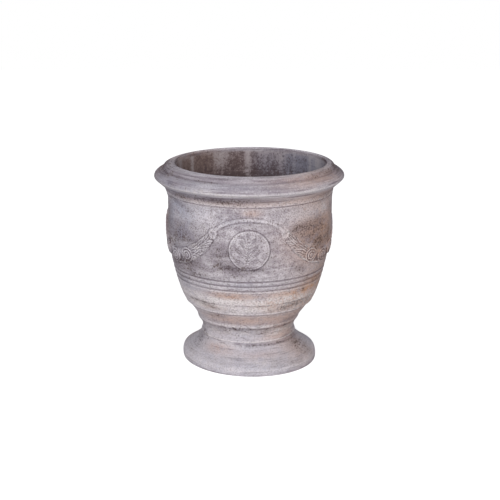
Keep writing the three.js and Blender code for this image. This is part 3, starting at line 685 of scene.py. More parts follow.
def rim_outline():
    mouth = bezier([(MOUTH_RADIUS, HEIGHT - 5), (MOUTH_RADIUS, HEIGHT), CREST], 10)
    lip = bezier([CREST, shifted(CREST, 12, 0), shifted(NOTCH, 0.5, 8), NOTCH], 30)
    brow = bezier([NOTCH, shifted(NOTCH, 9, -4.5), shifted(NOSE, 0, 8.5), NOSE], 30)
    chin = bezier([NOSE, shifted(NOSE, 0, -4.5), shifted(RIM_SEAT, 5, 8), RIM_SEAT], 30)
    outline = resample(np.concatenate([[(NECK_INNER, RIM_BASE)], mouth, lip, brow, chin]), 1.35)
    r, h = outline.T
    inward = (r < MOUTH_RADIUS + 0.5) & (h < HEIGHT - 2)
    soiled = inward * soft_step((HEIGHT - 6 - h) / 5)
    # Painted shade under the nose, on the chin with a thin dark line just below its edge, and in the notch;
    # painted highlights on the crest of the lip and on the nose.
    below = (r > NECK_RADIUS - 1) * (h < HEIGHT - 20)
    chin_shade = soft_step((NOSE[1] - 4 - h) / 1.5)
    notch = np.exp(-(np.hypot(r - NOTCH[0], h - NOTCH[1]) / 2.4) ** 2)
    hollow = 0.6 * notch + (0.1 * chin_shade + 0.6 * swell(h, NOSE[1] - 6.5, 1.2)) * below
    pale = 0.4 * swell(h, HEIGHT, 2.5) + 0.3 * (r > NOTCH[0]) * swell(h, NOSE[1] - 1, 6)
    under = resample([RIM_SEAT, (NECK_INNER, RIM_BASE)], 5)[1:-1]
    return outline_rows(outline, hollow, pale, soiled, under, 0)


print("crest, notch, nose:", CREST, NOTCH, NOSE, "points:", len(rim_outline()))

# %% [markdown]
# The foot is a hollow flare with a collar and a crease above it. It is drawn in the same way and
# goes on up inside to the bowl, because someone may turn the urn over.

# %% The foot's outline
CREASE_HEIGHT = 64.5
CREASE_RADIUS = 114
STEM_RADIUS = 111.3
STEM_HEIGHT = 78
EDGE_HEIGHT = 22
RING_INNER = 141
HOLLOW_RADIUS = 89.3


def foot_spacing(height):
    return 0.8 if abs(height - CREASE_HEIGHT) < 5 else 1.8


def foot_outline():
    top = foot_top / MM
    lip = (FOOT_RADIUS - 2.8, EDGE_HEIGHT)
    stem = bezier([(JOINT_RADIUS, top), (112.8, 91), (STEM_RADIUS, STEM_HEIGHT)], 20)
    collar = bezier([(STEM_RADIUS, STEM_HEIGHT), (113.1, 69.5), (114.8, CREASE_HEIGHT + 2)], 12)
    crease = np.array([(CREASE_RADIUS + 0.2, CREASE_HEIGHT + 0.6), (CREASE_RADIUS, CREASE_HEIGHT - 0.6)])
    flare = bezier([
        (CREASE_RADIUS, CREASE_HEIGHT - 1.2), (120, 52.3), (FOOT_RADIUS - 41.3, 45.9), lip,
    ], 60)
    edge = bezier([lip, (FOOT_RADIUS + 1.2, 11), (FOOT_RADIUS - 1, 0)], 14)
    outside = resample(np.concatenate([stem, collar, crease, flare, edge]), foot_spacing)
    height = outside[:, 1]
    # Painted shade in the crease, where the foot meets the bowl and along the ground, and painted
    # highlights above the crease and on the bulge of the edge.
    hollow = 0.3 * swell(height, CREASE_HEIGHT - 1, 1.6) + 0.7 * swell(height, top - 1, 3)
    hollow += 0.2 * swell(height, 0, 2)
    pale = swell(height, CREASE_HEIGHT + 2.6, 1.3) + 0.25 * swell(height, 12, 3)
    under = bezier([(RING_INNER, 0), (129, 20), (HOLLOW_RADIUS, 48), (HOLLOW_RADIUS, STEM_HEIGHT)], 20)
    under = np.concatenate([[(FOOT_RADIUS - 1, 0)], under, [(HOLLOW_RADIUS, top), (JOINT_RADIUS, top)]])
    return outline_rows(outside, hollow, pale, 0, resample(under, 6)[1:-1], 0.5)


print("points in the foot's outline:", len(foot_outline()))

# %% [markdown]
# Geometry Nodes do the turning: a grid gives the turns and the steps, each row of the grid looks
# up its own point of the outline, and each column is turned about the axis. A spin in edit mode
# would do as well, but a tree takes the outline as its input, so the same wheel turns the foot,
# the bowl, the rim and the small discs of the relief.

# %% The wheel
VECTOR = {"data_type": "FLOAT_VECTOR"}
VECTOR_AT_POINTS = {"data_type": "FLOAT_VECTOR", "domain": "POINT"}


def socket_list(tree, sockets):
    for name, kind in sockets:
        tree.interface.new_socket(name, in_out="INPUT", socket_type=kind)
    tree.interface.new_socket("Geometry", in_out="OUTPUT", socket_type="NodeSocketGeometry")
    return add_node(tree, "NodeGroupInput").outputs


def end_tree(tree, geometry, material):
    smooth = add_node(tree, "GeometryNodeSetShadeSmooth", None, {"Geometry": geometry})
    real = add_node(tree, "GeometryNodeRealizeInstances", None, {0: smooth})
    finished = add_node(tree, "GeometryNodeSetMaterial", None, {"Geometry": real, "Material": material})
    add_node(tree, "NodeGroupOutput", None, {0: finished})


def wheel_tree():
    tree = bpy.data.node_groups.new("potters_wheel", "GeometryNodeTree")
    given = socket_list(tree, (
        ("Outline", "NodeSocketGeometry"), ("Turns", "NodeSocketInt"), ("Points", "NodeSocketInt"),
        ("Rows", "NodeSocketInt"), ("Material", "NodeSocketMaterial"),
    ))
    columns = mixture(tree, (given["Turns"], 1.0), start=1.0)
    grid = add_node(
        tree, "GeometryNodeMeshGrid", None,
        {"Size X": 1.0, "Size Y": 1.0, "Vertices X": columns, "Vertices Y": given["Rows"]},
    )
    spot = add_node(tree, "GeometryNodeInputPosition")
    across = add_node(tree, "ShaderNodeSeparateXYZ", None, {0: spot}).outputs
    turn = mixture(tree, (across["X"], 2 * math.pi), start=math.pi)
    row = across["Y"]
    last = mixture(tree, (given["Rows"], 1.0), start=-1.0)
    for operation, other in (("ADD", 0.5), ("MULTIPLY", last), ("ROUND", 0.0), ("MODULO", given["Points"])):
        row = add_node(tree, "ShaderNodeMath", {"operation": operation}, {0: row, 1: other})
    form = add_node(tree, "GeometryNodeInputNamedAttribute", VECTOR, {"Name": "form"})
    place, form = [
        add_node(
            tree, "GeometryNodeSampleIndex", VECTOR_AT_POINTS,
            {"Geometry": given["Outline"], "Value": value, "Index": row},
        )
        for value in (spot, form)
    ]
    kept = add_node(
        tree, "GeometryNodeStoreNamedAttribute", VECTOR_AT_POINTS,
        {"Geometry": grid, "Name": "form", "Value": form},
    )
    about = {"Vector": place, "Angle": turn}
    turned = add_node(tree, "ShaderNodeVectorRotate", {"rotation_type": "Z_AXIS"}, about)
    placed = add_node(tree, "GeometryNodeSetPosition", None, {"Geometry": kept, "Position": turned})
    closed = add_node(tree, "GeometryNodeMergeByDistance", None, {"Geometry": placed, "Distance": 0.00001})
    end_tree(tree, closed, given["Material"])
    return tree


potters_wheel = wheel_tree()
print("nodes in the wheel:", len(potters_wheel.nodes))

# %% [markdown]
# Nothing thrown by hand is true. A second tree takes a finished shape and wears it: slow lumps
# from the hands, pushed in and out from the axis so that wall and relief move together, low rings
# left by the fingers, and pits where grit was torn out, only where the map of the weather says so.

# %% Wear


def wear_tree():
    tree = bpy.data.node_groups.new("hand_and_weather", "GeometryNodeTree")
    given = socket_list(tree, (
        ("Shape", "NodeSocketGeometry"), ("Lumps", "NodeSocketFloat"), ("Rings", "NodeSocketFloat"),
        ("Pits", "NodeSocketFloat"), ("Seed", "NodeSocketFloat"), ("Material", "NodeSocketMaterial"),
    ))
    spot = add_node(tree, "GeometryNodeInputPosition")
    place = add_node(tree, "ShaderNodeVectorMath", {"operation": "ADD"}, {0: spot, 1: given["Seed"]})
    axes = add_node(tree, "ShaderNodeSeparateXYZ", None, {0: spot}).outputs
    lumps, grit = [
        add_node(tree, "ShaderNodeTexNoise", None, {"Vector": place, "Scale": scale, "Detail": 2.0})
        for scale in (15.0, 190.0)
    ]
    rings = {"W": axes["Z"], "Scale": 110.0, "Detail": 2.0}
    rings = add_node(tree, "ShaderNodeTexNoise", {"noise_dimensions": "1D"}, rings)
    push = 0.0
    for hand, amount in ((lumps, given["Lumps"]), (rings, given["Rings"])):
        push = mixture(tree, (mixture(tree, (hand, 1.0), start=-0.5), amount), start=push)
    flat = add_node(tree, "ShaderNodeCombineXYZ", None, {"X": axes["X"], "Y": axes["Y"]})
    outward = add_node(tree, "ShaderNodeVectorMath", {"operation": "NORMALIZE"}, {0: flat})
    pushed = add_node(tree, "ShaderNodeVectorMath", {"operation": "SCALE"}, {0: outward, "Scale": push})

    pitted = add_node(tree, "GeometryNodeInputNamedAttribute", {"data_type": "FLOAT"}, {"Name": "pitted"})
    torn = {"Value": grit, "From Min": 0.54, "From Max": 0.64}
    torn = add_node(tree, "ShaderNodeMapRange", SMOOTH, torn)
    pit = mixture(tree, (torn, pitted))
    depth = mixture(tree, (mixture(tree, (pit, given["Pits"])), -1.0))
    normal = add_node(tree, "GeometryNodeInputNormal")
    sunk = add_node(tree, "ShaderNodeVectorMath", {"operation": "SCALE"}, {0: normal, "Scale": depth})
    offset = add_node(tree, "ShaderNodeVectorMath", {"operation": "ADD"}, {0: pushed, 1: sunk})
    # Pits darken too: their painted shade, with some grime, is kept as hollow in the form.
    pit_shade_and_grime = add_node(tree, "ShaderNodeCombineXYZ", None, {"X": mixture(tree, (pit, 1.6))})
    form = add_node(tree, "GeometryNodeInputNamedAttribute", VECTOR, {"Name": "form"})
    held = add_node(tree, "ShaderNodeVectorMath", {"operation": "MAXIMUM"}, {0: form, 1: pit_shade_and_grime})
    stored = add_node(
        tree, "GeometryNodeStoreNamedAttribute", VECTOR_AT_POINTS,
        {"Geometry": given["Shape"], "Name": "form", "Value": held},
    )
    worn = add_node(tree, "GeometryNodeSetPosition", None, {"Geometry": stored, "Offset": offset})
    end_tree(tree, worn, given["Material"])
    return tree


hand_and_weather = wear_tree()
print("nodes in the wear:", len(hand_and_weather.nodes))

# %% Run a tree and keep its result as a plain mesh
LUMPS_MM = 1.0
RINGS_MM = 0.35
WEAR_SEED = 7.0


def grown(name, start_mesh, tree, **values):
    obj = bpy.data.objects.new(name, start_mesh)
    scene.collection.objects.link(obj)
    modifier = obj.modifiers.new("grow", "NODES")
    modifier.node_group = tree
    for item in tree.interface.items_tree:
        if item.in_out == "INPUT" and item.name in values:
            modifier[item.identifier] = values[item.name]
    ready = obj.evaluated_get(bpy.context.evaluated_depsgraph_get())
    mesh = bpy.data.meshes.new_from_object(ready)
    bpy.data.objects.remove(obj)
    mesh.name = name
    return mesh


def points_of(mesh):
    flat = np.empty(len(mesh.vertices) * 3)
    mesh.vertices.foreach_get("co", flat)
    return flat.reshape(-1, 3) / MM


def move_points(mesh, points):
    mesh.vertices.foreach_set("co", (np.asarray(points) * MM).ravel())
    mesh.update()


def faces_of(mesh):
    return [tuple(face.vertices) for face in mesh.polygons]


def put_attribute(mesh, name, kind, values):
    old = mesh.attributes.get(name)
    if old:
        mesh.attributes.remove(old)
    field = "value" if kind == "FLOAT" else "vector"
    written = mesh.attributes.new(name, kind, "POINT")
    written.data.foreach_set(field, np.asarray(values, np.float32).ravel())


def form_of(mesh):
    flat = np.empty(len(mesh.vertices) * 3)
    mesh.attributes["form"].data.foreach_get("vector", flat)
    return flat.reshape(-1, 3)


def plain_mesh(name, points, faces, form):
    """points in mm; form has a row of hollow, pale and soil for each of them."""
    mesh = bpy.data.meshes.new(name)
    mesh.from_pydata((np.asarray(points) * MM).tolist(), [], faces)
    put_attribute(mesh, "form", "FLOAT_VECTOR", form)
    return mesh


def weathered_piece(name, mesh, material, node, pits=0.0, lumps=LUMPS_MM, rings=RINGS_MM):
    """Give a placed shape its weather, wear it, and hand it to the frame."""
    shape = bmesh.new()
    shape.from_mesh(mesh)
    bmesh.ops.recalc_face_normals(shape, faces=shape.faces)
    shape.to_mesh(mesh)
    shape.free()
    points = points_of(mesh)
    form = form_of(mesh)
    dirt, warm, cool, pale, pitted = weather_of(points, form[:, 2])
    form[:, 1] += pale
    put_attribute(mesh, "form", "FLOAT_VECTOR", form)
    put_attribute(mesh, "pitted", "FLOAT", pitted)
    put_attribute(mesh, "weather", "FLOAT_VECTOR", np.stack([dirt, warm, cool], 1))
    worn = grown(
        name, mesh, hand_and_weather,
        Lumps=lumps * MM, Rings=rings * MM, Pits=pits * MM, Seed=WEAR_SEED, Material=material,
    )
    obj = bpy.data.objects.new(name, worn)
    scene.collection.objects.link(obj)
    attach(obj, "root")
    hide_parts(node)


print("hand-made unevenness, mm:", LUMPS_MM, "in lumps and", RINGS_MM, "in rings")

# %% [markdown]
# The urn in the photograph isn't quite true: its foot is a little out of round, its stem leans and
# its mouth sits off centre. A lattice could bend the meshes, but each fault is one shift that fades
# with the height, so it is done to the points themselves after the wheel.

# %% Turned pieces
FOOT_SKEW = 0.055
NEAR_BULGE = 0.02
STEM_LEAN = 2.2
FOOT_SKEW_TOP = 72
MOUTH_SHIFT = 4.0
MOUTH_SHIFT_LOW = 250


def skewed_foot(points):
    """Shear the flare sideways, most at the ground: the foot left the wheel out of round."""
    share = np.clip(1 - points[:, 2] / FOOT_SKEW_TOP, 0, 1) ** 0.6
    points[:, 0] -= FOOT_SKEW * share * points[:, 1]
    points[:, 1] += NEAR_BULGE * share * np.minimum(points[:, 1], 0)
    return points


def leaning_stem(points):
    """The stem stands a little to the left of the bowl and of the foot's edge."""
    height = points[:, 2]
    points[:, 0] -= STEM_LEAN * np.clip(height / 60, 0, 1) * np.clip((128 - height) / 27, 0, 1)
    return points


def shifted_mouth(points):
    """Move the mouth and the inner wall to the right: the lip is thicker on the left."""
    reach = np.hypot(points[:, 0], points[:, 1])
    inner = np.clip((NOTCH[0] - 2 - reach) / 12, 0, 1)
    points[:, 0] += MOUTH_SHIFT * inner * np.clip((points[:, 2] - MOUTH_SHIFT_LOW) / 120, 0, 1)
    return points


def outline_mesh(name, outline):
    mesh = bpy.data.meshes.new(name + "_outline")
    points = [(0.0, -r * MM, h * MM) for r, h in outline[:, :2]]
    mesh.from_pydata(points, [(i, i + 1) for i in range(len(points) - 1)], [])
    put_attribute(mesh, "form", "FLOAT_VECTOR", outline[:, 2:5])
    return mesh


def turned(name, outline, turns, closed, material):
    return grown(
        name, outline_mesh(name, outline), potters_wheel,
        Turns=turns, Points=len(outline), Rows=len(outline) + int(closed), Material=material,
    )


foot_mesh = turned("thrown_foot", foot_outline(), 320, True, clay_foot)
move_points(foot_mesh, leaning_stem(skewed_foot(points_of(foot_mesh))))
weathered_piece("thrown_foot", foot_mesh, clay_foot, "foot", pits=1.3)
bowl_mesh = turned("thrown_bowl", bowl_outline(), 340, True, clay_bowl)
move_points(bowl_mesh, leaning_stem(shifted_mouth(points_of(bowl_mesh))))
weathered_piece("thrown_bowl", bowl_mesh, clay_bowl, "bowl", pits=1.2)
rim_mesh = turned("rolled_rim", rim_outline(), 400, True, clay_rim)
move_points(rim_mesh, shifted_mouth(points_of(rim_mesh)))
weathered_piece("rolled_rim", rim_mesh, clay_rim, "rim", pits=0.8, lumps=1.4, rings=0.8)
print("faces of foot, bowl, rim:", [len(m.polygons) for m in (foot_mesh, bowl_mesh, rim_mesh)])

# %% [markdown]
# The relief is pressed in small moulds and stuck on with slip. Each piece is modelled on a flat
# board first, x along the wall, y up and z out, and is then bent onto the bowl, as the soft clay
# is. A thin skirt of slip runs out from its foot and dips just into the wall, so no gap shows,
# and painted shade, with some grime, darkens that line.

# %% Pressing relief onto the wall
BAYS = 3
BAY_ANGLE = 2 * math.pi / BAYS
ROOT = -1.0
SKIRT = 0.35


def press_on(points, bearing, height):
    """Board points in mm to points on the wall in mm."""
    points = np.asarray(points, float)
    level = height + points[:, 1]
    angle = bearing + points[:, 0] / wall_radius(height)
    radius = wall_radius(level) + points[:, 2]
    return np.stack([radius * np.sin(angle), -radius * np.cos(angle), level], 1)


def closed_strip(front):
    """front is rows x columns x 3, both long edges below the wall; a strip behind it closes it."""
    rows, columns = front.shape[:2]
    faces = []
    for i in range(rows - 1):
        at = i * columns
        for j in range(columns - 1):
            faces.append((at + j, at + j + 1, at + columns + j + 1, at + columns + j))
        faces.append((at, at + columns, at + 2 * columns - 1, at + columns - 1))
    faces.append(tuple(range(columns)))
    faces.append(tuple((rows - 1) * columns + j for j in reversed(range(columns))))
    return front.reshape(-1, 3), faces


print("bays:", BAYS, "each of", round(math.degrees(BAY_ANGLE)), "degrees")

# %% [markdown]
# A garland hangs as a chain does between its knots, so its middle line is the curve of a hanging
# chain, worked out from its span and its sag. A Bezier curve would do, but its ends and its sag
# would have to be set by eye, and would come loose when a size is changed.

# %% Garland path
KNOT_ANGLE = math.radians(24.6)
KNOT_HEIGHT = 349.9
SWAG_SAG = 70.3
SWAG_HEIGHT = KNOT_HEIGHT - SWAG_SAG
SHORT_OF_KNOT = 10
knot_span = (math.pi / BAYS - KNOT_ANGLE) * float(wall_radius(SWAG_HEIGHT))
low, high = knot_span / 10, knot_span * 10
for _ in range(60):
    middle = (low + high) / 2
    if middle * (math.cosh(knot_span / middle) - 1) > SWAG_SAG:
        low = middle
    else:
        high = middle
chain = (low + high) / 2
swag_reach = chain * math.sinh(knot_span / chain) - SHORT_OF_KNOT
print("half span, chain and reach, mm:", [round(size, 1) for size in (knot_span, chain, swag_reach)])


def swag_point(distance):
    x = chain * np.arcsinh(distance / chain)
    return np.stack([x, chain * (np.cosh(x / chain) - 1)], -1)


def along(path, at, near=0.5):
    step = path(at + near) - path(at - near)
    return step / np.linalg.norm(step, axis=-1, keepdims=True)


def beside(path, at, offsets, near=0.5):
    """Board points offsets mm above the path at each place along it."""
    run = along(path, at, near)
    side = np.stack([-run[..., 1], run[..., 0]], -1)
    return path(at) + side * np.asarray(offsets)[..., None]


# %% [markdown]
# The garland has leaves from each knot to the first button, worn until they are hardly more than
# ridges. They are one shape repeated, so Geometry Nodes strew that shape on points that carry a
# heading and a size. Carving them in the strip itself would need far more faces.

# %% Leaves
LEAF_LEVEL = 2.1
LEAF_DIP = 0.09


def leaf_tree():
    tree = bpy.data.node_groups.new("strewn_leaves", "GeometryNodeTree")
    given = socket_list(tree, (
        ("Places", "NodeSocketGeometry"), ("Around", "NodeSocketInt"), ("Lengthwise", "NodeSocketInt"),
        ("Taper", "NodeSocketFloat"), ("Material", "NodeSocketMaterial"),
    ))
    ball = add_node(
        tree, "GeometryNodeMeshUVSphere", None,
        {"Segments": given["Around"], "Rings": given["Lengthwise"], "Radius": 1.0},
    )
    on_its_side = {"Geometry": ball, "Rotation": (0, math.pi / 2, 0)}
    laid = add_node(tree, "GeometryNodeTransform", None, on_its_side)
    spot = add_node(tree, "GeometryNodeInputPosition")
    axes = add_node(tree, "ShaderNodeSeparateXYZ", None, {0: spot}).outputs
    narrow = mixture(tree, (mixture(tree, (axes["X"], given["Taper"])), -1.0), start=1.0)
    y, z = [mixture(tree, (axes[axis], narrow)) for axis in "YZ"]
    shaped = add_node(tree, "ShaderNodeCombineXYZ", None, {"X": axes["X"], "Y": y, "Z": z})
    leaf = add_node(tree, "GeometryNodeSetPosition", None, {"Geometry": laid, "Position": shaped})
    turn, size = [
        add_node(tree, "GeometryNodeInputNamedAttribute", VECTOR, {"Name": name})
        for name in ("turn", "size")
    ]
    strewn = add_node(
        tree, "GeometryNodeInstanceOnPoints", None,
        {"Points": given["Places"], "Instance": leaf, "Rotation": turn, "Scale": size},
    )
    end_tree(tree, strewn, given["Material"])
    return tree


strewn_leaves = leaf_tree()
print("nodes in the leaves:", len(strewn_leaves.nodes))


def leaves(name, places):
    """places: x, y, z of the middle, heading in degrees, half length, half width, half height, in mm."""
    places = np.array(places, float)
    seeds = bpy.data.meshes.new(name + "_places")
    seeds.from_pydata((places[:, :3] * MM).tolist(), [], [])
    heading = np.radians(places[:, 3])
    turn = np.stack([0 * heading, LEAF_DIP + 0 * heading, heading], 1)
    put_attribute(seeds, "turn", "FLOAT_VECTOR", turn)
    put_attribute(seeds, "size", "FLOAT_VECTOR", places[:, 4:7] * MM)
    mesh = grown(name, seeds, strewn_leaves, Around=8, Lengthwise=6, Taper=0.45, Material=clay_relief)
    points = points_of(mesh)
    height = points[:, 2]
    base = np.median(places[:, 2])
    # Painted shade round the foot of each leaf and a painted highlight on its top.
    hollow = np.clip((base + 0.7 - height) / 0.9, 0, 1) * 0.8
    pale = np.clip((height - base - 0.8) / 0.8, 0, 1) * 0.4
    return points, faces_of(mesh), np.stack([hollow, pale, 0 * hollow], 1)


def corner_shade_and_grime(points, places, reach=0.8):
    """How dark the clay is close round each leaf: painted shade in the corner, with some grime."""
    nearest = np.full(len(points), 9.0)
    for x, y, _, heading, length, width, _ in places:
        run = np.array([math.cos(math.radians(heading)), math.sin(math.radians(heading))])
        away = points[:, :2] - (x, y)
        lengthwise = away @ run / (length + 1)
        across = away @ (-run[1], run[0]) / (width + 0.3)
        nearest = np.minimum(nearest, np.hypot(lengthwise, across))
    return soft_step((1 + reach - nearest) / (reach * 0.6))


# %% [markdown]
# The body of a garland is one strip that follows the chain. Between its buttons it is a smooth
# fold above a shallow hollow, with painted shade in the hollow and a painted highlight on the fold,
# and a hem runs along its lower edge. Each height is a rule across the strip, which a curve with a
# bevel could not change along the way.

# %% Garlands
SWAG_HALF = 18.4
SWAG_END_HALF = 11.5
SKIRT_WIDTH = 3.5
ROSETTE_PITCH = 48
LEAVES_FROM = 54
HEM_TO = 116
SWAG_ALONG = np.linspace(-swag_reach, swag_reach, 281)
SWAG_ACROSS = np.linspace(-1, 1, 61)


def swag_half(distance):
    return SWAG_HALF - (SWAG_HALF - SWAG_END_HALF) * (np.abs(distance) / swag_reach) ** 2.2


def swag_body():
    half = swag_half(SWAG_ALONG)[:, None]
    offset = SWAG_ACROSS[None, :] * (half + SKIRT_WIDTH)
    v = offset / half
    s = SWAG_ALONG[:, None] + 0 * v
    away = np.abs(s)
    leafy = soft_step((away - LEAVES_FROM) / 14)
    plain = 1 - leafy
    hem = (2.5 * plain + 2.0 * leafy * soft_step((HEM_TO - away) / 16)) * swell(v, -0.86, 0.15)
    field = 1.5 + plain * (2.4 * swell(v, 0.62, 0.3) - 0.4 * swell(v, -0.1, 0.4)) + hem + 0.3 * leafy
    rise = soft_step((1.04 - np.abs(v)) / 0.2) * soft_step((swag_reach - away) / 4)
    relief = SKIRT + rise * (field - SKIRT)
    sink = soft_step((np.abs(SWAG_ACROSS)[None, :] - 0.955) / 0.045)
    sink = np.maximum(sink, soft_step(away - swag_reach + 1))
    relief = relief * (1 - sink) + ROOT * sink
    # Painted shade along the strip's foot, under the fold and above the hem; painted highlights on the hem,
    # the fold and the leafy top edge.
    hollow = 0.7 * swell(np.abs(v), 1.03, 0.08) + 1.1 * plain * swell(v, -0.2, 0.32)
    hollow += 0.4 * swell(v, -0.66, 0.08) * (away < HEM_TO - 8) + 0.1 * leafy
    pale = 0.4 * hem + 0.4 * plain * swell(v, 0.62, 0.25) + 0.5 * leafy * swell(v, 0.93, 0.07)
    flat = beside(swag_point, s, offset)
    points, faces = closed_strip(np.concatenate([flat, relief[..., None]], -1))
    return points, faces, np.stack([hollow.ravel(), pale.ravel(), np.zeros(v.size)], 1)


def swag_leaves():
    """Rows from the top edge down: place across, droop, length, width, height and start."""
    rows = (
        (0.74, 3.0, 17.0, 1.7, 1.7, 0.0), (0.44, -3.0, 15.0, 1.8, 1.9, 7.0),
        (0.12, -9.0, 14.0, 2.0, 2.0, 0.0), (-0.22, -18.0, 12.5, 2.2, 2.0, 7.0),
        (-0.55, -30.0, 9.0, 2.3, 1.8, 2.0),
    )
    places = []
    unevenness = np.random.default_rng(17)
    for side in (-1, 1):
        for share, droop, length, width, height, start in rows:
            distance = swag_reach - 6 - start
            while distance > LEAVES_FROM + 8:
                s = side * distance
                half = float(swag_half(s))
                x, y = beside(swag_point, np.array(s), np.array(share * half))
                run = along(swag_point, np.array(s)) * -side
                heading = math.degrees(math.atan2(run[1], run[0])) + side * droop
                heading += unevenness.normal(0, 7)
                shrink = (0.55 + 0.45 * half / SWAG_HALF) * unevenness.uniform(0.8, 1.15)
                places.append((x, y, LEAF_LEVEL, heading, length * shrink, width * shrink, height))
                distance -= 0.95 * length * shrink
    return places


def joined(*shapes):
    points, faces, form, start = [], [], [], 0
    for more_points, more_faces, more_form in shapes:
        points.append(more_points)
        faces += [tuple(start + k for k in face) for face in more_faces]
        form.append(more_form)
        start += len(more_points)
    return np.concatenate(points), faces, np.concatenate(form)


def pressed(name, shape, bearing, height, node):
    """Press a shape from the board onto the wall and let it weather."""
    points, faces, form = shape
    mesh = plain_mesh(name, press_on(points, bearing, height), faces, form)
    weathered_piece(name, mesh, clay_relief, node)


swag_strip = swag_body()
leaf_places = swag_leaves()
# Painted shade, with some grime, round the foot of each leaf on the strip.
swag_strip[2][:, 0] += 0.7 * corner_shade_and_grime(swag_strip[0], leaf_places, 0.5)
garland = joined(swag_strip, leaves("garland_leaves", leaf_places))
for number in range(1, BAYS + 1):
    pressed(
        f"garland_{number}", garland, (number - 0.5) * BAY_ANGLE, SWAG_HEIGHT,
        f"swag_{number}",
    )
print("leaves on a garland:", len(leaf_places))

# %% [markdown]
# Buttons, medallions and knots are small turned shapes. The wheel turns each outline on the flat
# board, and the result is pressed on like the garlands. A plain sprig of leaves, the commonest
# ornament on garden pots, fills the middle of the medallion.

# %% Rosettes
ROSETTE_RADIUS = 17.6
PETALS = 9


def disc_outline(radius, relief, hollow, pale, count, skirt, edge):
    """From the middle of the face out to the foot of the edge, under the wall and back to the axis."""
    r = np.linspace(0, 1, count)
    # Painted shade and highlights: hollow and pale on the face, and the edge as painted shade round the
    # disc's foot.
    face = np.stack([r * radius, relief(r), hollow(r), pale(r), 0 * r], 1)
    foot_line = np.array([
        (radius + 0.5, relief(1.0) * 0.45 + SKIRT * 0.5, edge, 0, 0), (radius + 1.0, SKIRT, edge, 0, 0),
        (radius + skirt * 0.7, SKIRT, edge * 0.6, 0, 0), (radius + skirt, SKIRT * 0.9, 0.1, 0, 0),
        (radius + skirt + 0.6, ROOT, 0, 0, 0), (0, ROOT - 1.0, 0, 0, 0),
    ])
    return np.concatenate([face, foot_line])


def board_disc(name, outline, turns):
    """A disc turned on the board: its points in mm, its faces and its form."""
    mesh = turned(name, outline, turns, False, clay_relief)
    return points_of(mesh), faces_of(mesh), form_of(mesh)


rosette = disc_outline(
    ROSETTE_RADIUS,
    lambda r: 7.2 - 1.6 * r ** 2 - 1.8 * (swell(r, 0.36, 0.10) + swell(r, 0.74, 0.09)),
    # Painted shade in the grooves and the middle of the button, painted highlights on its rings.
    lambda r: 1.4 * (swell(r, 0.36, 0.09) + swell(r, 0.74, 0.08)) + 0.8 * swell(r, 0, 0.12),
    lambda r: 0.7 * (swell(r, 0.20, 0.06) + swell(r, 0.55, 0.08) + swell(r, 0.93, 0.06)),
    count=44, skirt=1.0, edge=1.0,
)
points, faces, form = board_disc("button", rosette, 56)
turn = np.arctan2(points[:, 1], points[:, 0])
reach = np.hypot(points[:, 0], points[:, 1]) / ROSETTE_RADIUS
points[:, 2] += 0.5 * np.cos(PETALS * turn) * swell(reach, 0.57, 0.12) * (points[:, 2] > 2)
for number in range(1, 3 * BAYS + 1):
    bay, place = divmod(number - 1, 3)
    x, y = swag_point(np.array((place - 1) * float(ROSETTE_PITCH)))
    pressed(
        f"button_{number}", (points + (x, y, 0), faces, form),
        (bay + 0.5) * BAY_ANGLE, SWAG_HEIGHT, f"rosette_{number}",
    )
print("points in a button:", len(points))

# %% Medallions
MEDALLION_RADIUS = 47.3
MEDALLION_HEIGHT = 314.1
medallion = disc_outline(
    MEDALLION_RADIUS,
    lambda r: (
        2.4 - 0.2 * r ** 2 + 0.45 * swell(r, 0.95, 0.03) - 0.25 * swell(r, 0.89, 0.02)
        - 0.9 * soft_step((r - 0.97) / 0.03)
    ),
    # Painted shade in the thin ring and round the edge of the medallion, a painted highlight on its border.
    lambda r: 0.2 * swell(r, 0.89, 0.02) + 0.5 * soft_step((r - 0.975) / 0.02),
    lambda r: 0.4 * swell(r, 0.945, 0.03),
    count=150, skirt=2.6, edge=1.3,
)


def sprig_places():
    """One stem that leans, with a pair of slender leaves at each of its steps and one at its tip."""

    def stem(t):
        return -6 + 14 * t - 9 * t * t, -30 + 52 * t

    places = [(*stem(k / 15), LEAF_LEVEL, 80 + 22 * k / 15, 3.0, 0.8, 0.8) for k in range(16)]
    for k, t in enumerate((0.16, 0.34, 0.52, 0.70, 0.86)):
        x, y = stem(t)
        reach = 16.5 - 6.0 * t
        for side in (-1, 1):
            heading = 86 + side * (56 - 18 * t) + 9 * (k % 2)
            run = math.radians(heading)
            leaf = (x + reach * math.cos(run), y + reach * math.sin(run))
            places.append((*leaf, LEAF_LEVEL, heading, reach, 1.9 - 0.6 * t, 0.9))
    places.append((-1.5, 30.0, LEAF_LEVEL, 104, 8.0, 2.3, 1.2))
    for side in (-1, 1):
        places.append((-6 + side * 17, -25.0, LEAF_LEVEL, 90 - side * 62, 10.0, 1.6, 0.9))
    return places


disc = board_disc("medallion_disc", medallion, 180)
# Painted shade, with some grime, round the foot of each leaf of the sprig.
disc[2][:, 0] += 0.85 * corner_shade_and_grime(disc[0], sprig_places(), 0.4)
disc = joined(disc, leaves("medallion_sprig", sprig_places()))
for bay in range(1, BAYS + 1):
    pressed(
        f"medallion_disc_{bay}", disc, (bay - 1) * BAY_ANGLE, MEDALLION_HEIGHT,
        f"medallion_{bay}",
    )
print("leaves and stem pieces in the sprig:", len(sprig_places()))

# %% [markdown]
# A ribbon arches over each medallion from knot to knot. It is a flat roll of clay, so it is one
# strip along half an ellipse, made as the body of a garland is.

# %% Arch ribbons
RIBBON_CROWN = 385.7
RIBBON_RISE = 51.5
RIBBON_HALF = 4.7
ribbon_end = math.asin((KNOT_HEIGHT - RIBBON_CROWN + RIBBON_RISE) / RIBBON_RISE)
ribbon_span = KNOT_ANGLE * BOWL_RADIUS / math.cos(ribbon_end)


